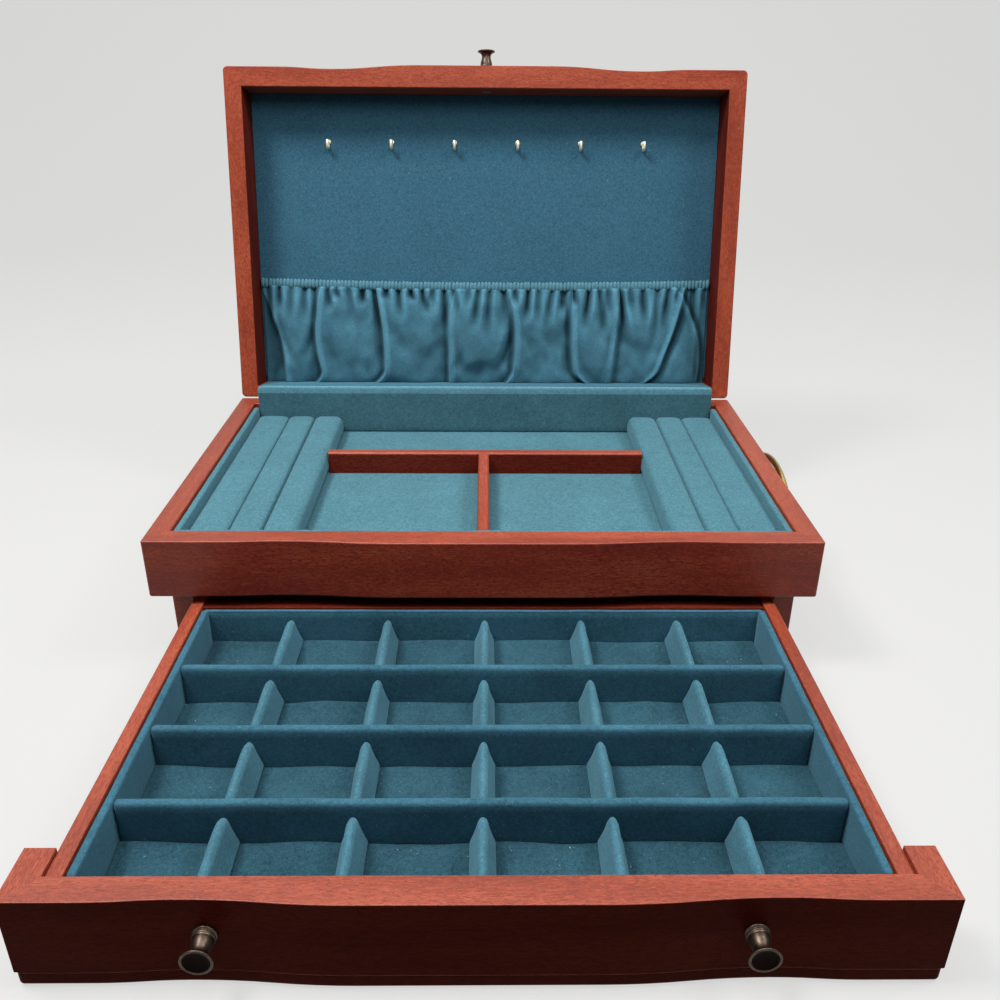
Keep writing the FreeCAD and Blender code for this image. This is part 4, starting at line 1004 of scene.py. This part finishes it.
# Places in millimetres at the top, middle and bottom, strength, lip side, curl at the foot.
FOLDS = [((-131, -133, -128), 1.0, 1, -1), ((-86, -80, -79), 1.0, 1, -1), ((-24, -28, -27), 1.0, 1, 0),
         ((17, 23, 20), 1.0, 1, -0.5), ((69, 69, 73), 1.1, 1, 1), ((106, 103, 98), 0.6, -1, 0),
         ((156, 146, 133), 1.0, -1, -1), ((-176, -163, -158), 0.6, 1, 0), ((150, 167, 168), 0.7, -1, 0)]
SWAGS = [(-104, 20, 0.48, 1.8), (-54, 20, 0.70, 2.6), (-3, 19, 0.48, 4.2), (46, 20, 0.74, 1.6),
         (86, 14, 0.52, 1.8), (120, 16, 0.72, 2.4), (-148, 15, 0.72, 2.0)]
GATHERS = 38


def band_height(x):
    """How high up the lid the middle of the band runs; it sags a little."""
    return BAND_CENTRE - BAND_SAG * (1 - (x / POCKET_HALF) ** 2)


def fold_x(places, t):
    """A fold's place across, in millimetres, through its top, middle and bottom."""
    top, middle, bottom = places
    return bottom * (1 - t) * (1 - 2 * t) + 4 * middle * t * (1 - t) + top * t * (2 * t - 1)


def hill(d, width):
    """One at the middle, falling off smoothly on both sides."""
    return math.exp(-(d / width) ** 2)


def gather_list():
    """Where each small gather starts, how far it runs down and where it leans."""
    rule = random.Random(12)
    made = []
    for k in range(GATHERS):
        home = -171 + 342 * k / (GATHERS - 1) + rule.uniform(-2.6, 2.6)
        made.append((home, rule.choice((0.14, 0.20, 0.28, 0.38, 0.50, 0.62)), rule.uniform(-11, 11),
                     rule.uniform(0.35, 1.0)))
    return made


GATHER_LIST = gather_list()
print("gathers", len(GATHER_LIST))

# %% [markdown]
# The height rule adds up what the cloth does: it bulges towards its foot,
# sags in swags, drops off on one side of each fold, and is pinched under the
# band by small gathers of uneven length.

# %% How far the cloth stands out


def pocket_out(x_mm, t):
    """How far the cloth stands out from the lining, in millimetres."""
    x = x_mm + 2.4 * ripple(Vector((x_mm * 0.03, t * 1.6, 0.4)), 1.0, 77)
    out = 4.4 + 5.2 * (1 - t ** 5) - 2.4 * math.exp(-t / 0.06)
    for centre, half, height, swell in SWAGS:
        u = (x - centre) / half
        bowl = height - 0.16 + 0.30 * u * u + 0.16 * ripple(Vector((centre, u * 0.9, 0)), 1.0, 91)
        across = math.exp(-u ** 4)
        out += across * swell * (hill(t - bowl, 0.20) - 0.5 * hill(t - bowl + 0.27, 0.11))
    for places, strength, lip, curl in FOLDS:
        foot = max(0.0, 1 - t / 0.15)
        e = lip * (x - fold_x(places, t) - 7.0 * curl * foot * foot)
        hold = strength * (0.5 + 0.5 * math.sin(math.pi * min(1.0, 0.12 + 0.85 * t)))
        if e >= 0:
            out += hold * 4.2 * math.exp(-e / 6.0)
        else:
            near = math.exp(e / 1.9)
            out += hold * (4.2 * near - 9.0 * (1 - near) * math.exp(e / 7.0))
    for home, reach, lean, depth in GATHER_LIST:
        fade = (t - (1 - reach)) / reach
        if fade > 0:
            grip = min(1.0, 1.5 * fade)
            grip = grip * grip * (3 - 2 * grip)
            d = x_mm - home - lean * (1 - t)
            out -= 4.9 * depth * grip * hill(d, 1.6 + 3.0 * (1 - fade))
            out += 1.5 * depth * grip * hill(d - 4.4, 2.0)
    out += 3.4 * ripple(Vector((x * 0.034, t * 2.1, 0.2)), 1.0, 84)
    out += 1.6 * ripple(Vector((x * 0.09, t * 4.6, 0.7)), 1.0, 85)
    out += 0.55 * ripple(Vector((x * 0.15, t * 8.0, 1.3)), 1.0, 86) * (1 - t ** 4)
    out -= 9.0 * hill(x_mm + 172, 15) * hill(t - 0.28, 0.34) + 6.0 * hill(x_mm - 172, 11) * hill(t - 0.3, 0.5)
    edge = min(1.0, (POCKET_HALF * 1000 - abs(x_mm)) / 9)
    low = min(1.0, max(0.0, t - 0.02) / 0.16)
    limit = 11.6 + 2.2 * low
    out = out * (0.45 + 0.55 * edge)
    if out > limit - 3:
        out = limit - 3 * math.exp(-(out - limit + 3) / 3)
    return max(0.9, out)


print("out in the middle", round(pocket_out(0, 0.5), 1), "mm")

# %% [markdown]
# The rule is sampled on a grid, once for each side of the cloth, and the edges are closed. The difference between a
# point and its surroundings goes with it, for the painted shade and light of the plush.

# %% The cloth's mesh


def pocket_sheet():
    """The front of the pocket, closed to a thin cloth with a hidden back."""
    columns, rows, hem = 640, 84, 6
    total = rows + hem
    grid = [[pocket_out(-175.2 + 350.4 * i / columns, j / rows) for i in range(columns + 1)] for j in range(rows + 1)]
    vertices, faces, folds = [], [], []
    for layer in (0, 1):
        for j in range(total + 1):
            row = min(j, rows)
            for i in range(columns + 1):
                x = -POCKET_HALF + 2 * POCKET_HALF * i / columns
                top = band_height(x) - BAND_HALF_HEIGHT + 0.0004
                out = grid[row][i]
                beside = grid[row][max(0, i - 8)] + grid[row][min(columns, i + 8)]
                around = grid[max(0, row - 7)][i] + grid[min(rows, row + 7)][i]
                # How far a point stands out from its neighbours, for the painted shade of the plush.
                folds.append(0.65 * (out - beside / 2) + 0.45 * (out - around / 2))
                out /= 1000
                if j <= rows:
                    t = j / rows
                    up = POCKET_LOW + (top - POCKET_LOW) * t
                    up += 0.0016 * ripple(Vector((x * 1.4, up, 0)), 34, 75) * math.sin(math.pi * t)
                else:
                    t = (j - rows) / hem
                    out += (0.0012 - out) * min(1.0, 2 * t)
                    up = top + (2 * BAND_HALF_HEIGHT - 0.0008) * t
                vertices.append(on_lid(x, up, out - 0.0005 * layer))
    width = columns + 1
    back = width * (total + 1)
    for j in range(total):
        for i in range(columns):
            a = j * width + i
            faces.append((a, a + 1, a + 1 + width, a + width))
            faces.append((back + a, back + a + width, back + a + 1 + width, back + a + 1))
    for i in range(columns):
        faces.append((i + 1, i, back + i, back + i + 1))
        top = total * width + i
        faces.append((top, top + 1, back + top + 1, back + top))
    for j in range(total):
        a = j * width
        faces.append((a, a + width, back + a + width, back + a))
        b = a + columns
        faces.append((b + width, b, back + b, back + b + width))
    return vertices, faces, folds


print("cloth maker", pocket_sheet.__name__)

# %% [markdown]
# The cloth is made from the rule, carries at each point how far it stands out, and rides on the lid in place of the
# CAD pocket.

# %% The pocket in place
pocket_points, pocket_faces, pocket_folds = pocket_sheet()
pocket = outwards(own_mesh("pocket_cloth", pocket_points, pocket_faces, PLUSH))
fold_layer = pocket.data.attributes.new("fold", "FLOAT", "POINT")
fold_layer.data.foreach_set("value", pocket_folds)
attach(pocket, "lid")
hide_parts("lid_pocket")

# %% [markdown]
# The pocket's plush runs on forwards over the rail below it, glued flat.

# %% Plush on the back rail
tuck_block = lid_block(-POCKET_HALF, POCKET_HALF, 0.0087, 0.0093, 0.0004, 0.0269, 0.0002, (0.01, 0.003, 0.006))
soft_piece("pocket_tuck", [tuck_block], PLUSH, "lid", [], flat=(0.3504, 0.0265), rests_on="lid_back_rail")

# %% [markdown]
# The elastic is hidden in a narrow tunnel. The cloth over it is squeezed into
# over a hundred tiny ribs. Ribs that repeat along a path are a job for Geometry
# Nodes: one short puffed rib is made once and set down along a line.

# %% Ruched band
RIB_PITCH = 0.0028


def random_vector(tree, low, high, seed):
    """A random vector for each point, between two ends."""
    return add_node(tree, "FunctionNodeRandomValue", {0: low, 1: high, "Seed": seed},
                    data_type="FLOAT_VECTOR").outputs[0]


print("rib pitch", RIB_PITCH * 1000, "mm")

# %% [markdown]
# The tree bends a line to the band's sag, sets points along it at the pitch,
# puts a flattened ball on each, and resizes and shifts each a little.

# %% The band's tree


def build_rib_tree():
    """Geometry Nodes that set a puffed rib along the band's line."""
    tree = bpy.data.node_groups.new("ruched_band", "GeometryNodeTree")
    tree.interface.new_socket("Geometry", in_out="INPUT", socket_type="NodeSocketGeometry")
    sizes = [("Length", 0.35), ("Sag", 0.0026), ("Pitch", RIB_PITCH), ("Height", 0.0074), ("Thickness", 0.0038),
             ("Jitter", 0.0002)]
    for label, value in sizes:
        socket = tree.interface.new_socket(label, in_out="INPUT", socket_type="NodeSocketFloat")
        socket.default_value = value
    tree.interface.new_socket("Material", in_out="INPUT", socket_type="NodeSocketMaterial")
    tree.interface.new_socket("Geometry", in_out="OUTPUT", socket_type="NodeSocketGeometry")
    ends = tree.nodes.new("NodeGroupInput")
    out = tree.nodes.new("NodeGroupOutput")
    half = maths(tree, "MULTIPLY", ends.outputs["Length"], 0.5)
    start = add_node(tree, "ShaderNodeCombineXYZ", {"X": maths(tree, "MULTIPLY", half, -1.0)})
    stop = add_node(tree, "ShaderNodeCombineXYZ", {"X": half})
    dip = add_node(tree, "ShaderNodeCombineXYZ", {"Y": maths(tree, "MULTIPLY", ends.outputs["Sag"], -2.0)})
    line = add_node(tree, "GeometryNodeCurveQuadraticBezier",
                    {"Resolution": 48, "Start": start.outputs[0], "Middle": dip.outputs[0], "End": stop.outputs[0]})
    points = add_node(tree, "GeometryNodeCurveToPoints", {"Curve": line.outputs[0], "Length": ends.outputs["Pitch"]},
                      mode="LENGTH")
    rib = add_node(tree, "GeometryNodeMeshUVSphere", {"Segments": 12, "Rings": 10, "Radius": 0.5})
    width = maths(tree, "MULTIPLY", ends.outputs["Pitch"], 1.16)
    size = add_node(tree, "ShaderNodeCombineXYZ", {"X": width, "Y": ends.outputs["Height"],
                                                   "Z": ends.outputs["Thickness"]})
    shaped = add_node(tree, "GeometryNodeTransform", {"Geometry": rib.outputs["Mesh"], "Scale": size.outputs[0]})
    spread = random_vector(tree, (0.92, 0.97, 0.9), (1.06, 1.03, 1.08), 4)
    placed = add_node(tree, "GeometryNodeInstanceOnPoints",
                      {"Points": points.outputs["Points"], "Instance": shaped.outputs[0], "Scale": spread})
    wobble = random_vector(tree, (-1, -1, -1), (1, 1, 1), 9)
    shift = add_node(tree, "ShaderNodeVectorMath", {0: wobble, "Scale": ends.outputs["Jitter"]}, operation="SCALE")
    moved = add_node(tree, "GeometryNodeTranslateInstances",
                     {"Instances": placed.outputs[0], "Translation": shift.outputs[0]})
    real = add_node(tree, "GeometryNodeRealizeInstances", {"Geometry": moved.outputs[0]})
    painted = add_node(tree, "GeometryNodeSetMaterial",
                       {"Geometry": real.outputs[0], "Material": ends.outputs["Material"]})
    feed(tree, out.inputs[0], painted.outputs[0])
    return tree


print("tree maker", build_rib_tree.__name__)

# %% [markdown]
# A tree runs as a modifier on an empty mesh. Its sizes are set by the sockets'
# identifiers, the result is kept as a plain mesh and the modifier goes.

# %% Running a tree


def grown(tree, name, values, place):
    """Runs a Geometry Nodes tree once and keeps the plain mesh, placed."""
    holder = in_scene(name + "_holder", bpy.data.meshes.new(name + "_seed"))
    modifier = holder.modifiers.new("grow", "NODES")
    modifier.node_group = tree
    for item in tree.interface.items_tree:
        if item.in_out == "INPUT" and item.name in values:
            modifier[item.identifier] = values[item.name]
    graph = bpy.context.evaluated_depsgraph_get()
    mesh = bpy.data.meshes.new_from_object(holder.evaluated_get(graph))
    holder.modifiers.remove(modifier)
    bpy.data.objects.remove(holder)
    mesh.transform(place)
    for polygon in mesh.polygons:
        polygon.use_smooth = True
    return in_scene(name, mesh)


print("runner", grown.__name__)

# %% [markdown]
# The band lies across the lid at the top of the pocket, in the lid's own
# directions.

# %% The band in place
BAND_LENGTH = 0.3495
BAND_OUT = 0.0028
rib_tree = build_rib_tree()
band_centre = on_lid(0, BAND_CENTRE, BAND_OUT)
band_frame = Matrix((Vector((1, 0, 0)), LID_UP, LID_OUT)).transposed().to_4x4()
band = grown(rib_tree, "ruched_band", {"Length": BAND_LENGTH, "Sag": BAND_SAG, "Material": BAND_CLOTH},
             Matrix.Translation(band_centre) @ band_frame)
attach(band, "lid")
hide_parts("pocket_elastic")
print("band", len(band.data.polygons), "faces")

# %% [markdown]
# Cup hooks are bent from wire. A curve with a round bevel is how Blender
# bends wire, turned into a mesh at once so that it exports like the rest.

# %% Cup hooks


def wire(name, points, radius, material, steps=6):
    """A smooth bent wire through points, as a closed mesh."""
    curve = bpy.data.curves.new(name, "CURVE")
    curve.dimensions = "3D"
    curve.bevel_depth = radius
    curve.bevel_resolution = 3
    curve.resolution_u = steps
    curve.use_fill_caps = True
    spline = curve.splines.new("NURBS")
    spline.points.add(len(points) - 1)
    for i, point in enumerate(points):
        spline.points[i].co = (*point, 1)
    spline.order_u = 3
    spline.use_endpoint_u = True
    holder = in_scene(name + "_curve", curve)
    mesh = bpy.data.meshes.new_from_object(holder.evaluated_get(bpy.context.evaluated_depsgraph_get()))
    bpy.data.objects.remove(holder)
    one_finish(mesh, material)
    return outwards(in_scene(name, mesh))


print("wire maker", wire.__name__)

# %% [markdown]
# Six hooks stand in a row near the top of the panel, evenly spaced. Each is
# a short shank that enters the panel and an open loop.

# %% Six hooks
HOOK_UP = 0.1912
HOOK_COUNT, HOOK_FIRST, HOOK_PITCH = 6, -0.120, 0.048
WIRE_RADIUS = 0.00105
COLLAR_PROFILE = [(0.8, 0.0), (1.9, 0.05), (1.9, 0.35), (1.6, 0.65), (0.9, 0.95)]
hook_pieces = []
for i in range(HOOK_COUNT):
    x = HOOK_FIRST + HOOK_PITCH * i
    path = [on_lid(x, HOOK_UP, 0.0)]
    for step in range(13):
        angle = math.radians(150 + 250 * step / 12)
        path.append(on_lid(x, HOOK_UP - 0.0014 + 0.0036 * math.sin(angle), 0.0036 + 0.0031 * math.cos(angle)))
    hook_pieces.append(wire("hook" + str(i), path, WIRE_RADIUS, HOOK_BRASS))
    hook_pieces.append(lathe("collar" + str(i), COLLAR_PROFILE, on_lid(x, HOOK_UP, 0.0), LID_OUT, HOOK_BRASS, 20))
hooks = join("necklace_hooks", hook_pieces, HOOK_BRASS)
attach(hooks, "lid")
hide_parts("cup_hooks")
print("hooks", len(hooks.data.polygons), "faces")

# %% [markdown]
# The side handles are cast, not bent: thin at the posts and swelled at the
# crown, where the fingers pull. The right one is raised, the left one hangs.
# Each keeps the pins of its CAD solid, so it still turns in its posts.

# %% Swelled bails
PIVOT_HEIGHT = 0.063
CROWN_HALF = 26


def cast_bail(node, way):
    """A copy of a bail with a lower crown that is thicker in its own plane."""
    mesh = NODES[node].data.copy()
    one_finish(mesh, BRASS)
    for vertex in mesh.vertices:
        up = (vertex.co.z - PIVOT_HEIGHT) * way * 1000
        y = abs(vertex.co.y) * 1000
        share = min(1.0, max(0.0, (up - 5) / 13))  # from 0 near the posts to 1 at the crown
        lowered = up * (1 - 0.13 * share * share * (3 - 2 * share))
        if y < CROWN_HALF:
            lowered += (up - 20.25 + 0.0073 * y * y) * 0.42 * (1 - (y / CROWN_HALF) ** 2)
        vertex.co.z = PIVOT_HEIGHT + way * lowered / 1000
    piece = in_scene(node + "_cast", mesh)
    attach(piece, node)
    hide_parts(node)
    print(piece.name, len(mesh.polygons), "faces")


cast_bail("bail_right", 1)
cast_bail("bail_left", -1)

# %% [markdown]
# The sheet of felt under the floor keeps the chest from scratching a table.

# %% Felt underneath
glued_felt("felt_underneath", "felt_sheet", 0.02, BASE_FELT, "case_floor")

# %% [markdown]
# The chest stood on a pale floor in a white room. The floor curves up into a
# wall, so no edge shows behind the chest. It looks pale to the camera and to
# anything shiny, but throws little light, which Light Path makes possible.

# %% Floor
ROOM_HALF, FLOOR_FRONT, FLOOR_BACK = 6.0, -3.0, 1.1
BEND_RADIUS, WALL_TOP = 0.7, 2.6
FLOOR_GLOW = 0.615


def seen_ray(tree):
    """One where a surface is seen straight, in a reflection or through glass."""
    paths = add_node(tree, "ShaderNodeLightPath")
    return maths(tree, "MAXIMUM", paths.outputs["Is Camera Ray"],
                 maths(tree, "MAXIMUM", paths.outputs["Is Glossy Ray"], paths.outputs["Is Transmission Ray"]))


def build_floor():
    """A pale floor that curves up into a back wall."""
    profile = [(FLOOR_FRONT, 0.0), (FLOOR_BACK, 0.0)]
    for k in range(1, 13):
        angle = math.pi / 2 * k / 12
        profile.append((FLOOR_BACK + BEND_RADIUS * math.sin(angle), BEND_RADIUS - BEND_RADIUS * math.cos(angle)))
    profile.append((FLOOR_BACK + BEND_RADIUS, WALL_TOP))
    vertices = [Vector((x, y, z)) for x in (-ROOM_HALF, ROOM_HALF) for y, z in profile]
    count = len(profile)
    faces = [(i, i + count, i + count + 1, i + 1) for i in range(count - 1)]
    material, tree, shader, place = new_material("room", Roughness=0.9, Specular_IOR_Level=0.1)
    seen = seen_ray(tree)
    feed(tree, shader.inputs["Base Color"], mix_colour(tree, seen, (0.05, 0.05, 0.05), (0.16, 0.16, 0.158)))
    feed(tree, shader.inputs["Emission Color"], (1, 1, 0.985))
    feed(tree, shader.inputs["Emission Strength"], maths(tree, "MULTIPLY", seen, FLOOR_GLOW))
    return own_mesh("room", vertices, faces, material)


build_floor()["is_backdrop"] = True
print("floor", bpy.data.materials["room"].name)

# %% [markdown]
# The world is as pale as the floor where it is seen, and weak where it only
# lights, so that the lamps shape the shadows.

# %% World
SKY_SEEN, SKY_LIGHT = 0.54, 0.13
world = bpy.data.worlds.new("room_light")
bpy.context.scene.world = world
world.use_nodes = True
sky = world.node_tree
background = sky.nodes["Background"]
feed(sky, background.inputs["Color"], (1.0, 0.995, 0.98))
sky_strength = maths(sky, "ADD", maths(sky, "MULTIPLY", seen_ray(sky), SKY_SEEN), SKY_LIGHT)
feed(sky, background.inputs["Strength"], sky_strength)
print("world", world.name)

# %% [markdown]
# The light comes mostly from above. A broad lamp hangs over the chest, one
# at the upper left is the strongest, one at the right fills the shadows, and
# a weak one in front reaches into the drawer and the lid.

# %% Lamps


def area_lamp(name, place, aim, size, power, colour):
    """A round lamp at a place, turned to its aim and hidden from the camera."""
    data = bpy.data.lights.new(name, "AREA")
    data.shape = "DISK"
    data.size = size
    data.energy = power
    data.color = colour
    lamp = in_scene(name, data)
    lamp.location = place
    lamp.rotation_euler = (Vector(aim) - Vector(place)).to_track_quat("-Z", "Y").to_euler()
    lamp.visible_camera = False
    return lamp


area_lamp("left", (-0.55, -0.25, 1.20), (0, 0, 0.08), 0.36, 14.0, (1.0, 0.98, 0.95))
area_lamp("right", (0.75, -0.25, 1.10), (0, 0, 0.10), 0.45, 7.5, (1.0, 0.99, 0.97))
area_lamp("front", (0, -0.33, 0.64), (0, 0.15, 0.2), 0.30, 1.45, (1.0, 1.0, 1.0))
area_lamp("overhead", (0, 0.35, 2.0), (0, 0.1, 0), 1.8, 7.0, (1.0, 1.0, 1.0))
print("lamps", len(bpy.data.lights))

low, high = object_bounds()
print("seen", [round(v * 1000, 1) for v in (*low, *high)])
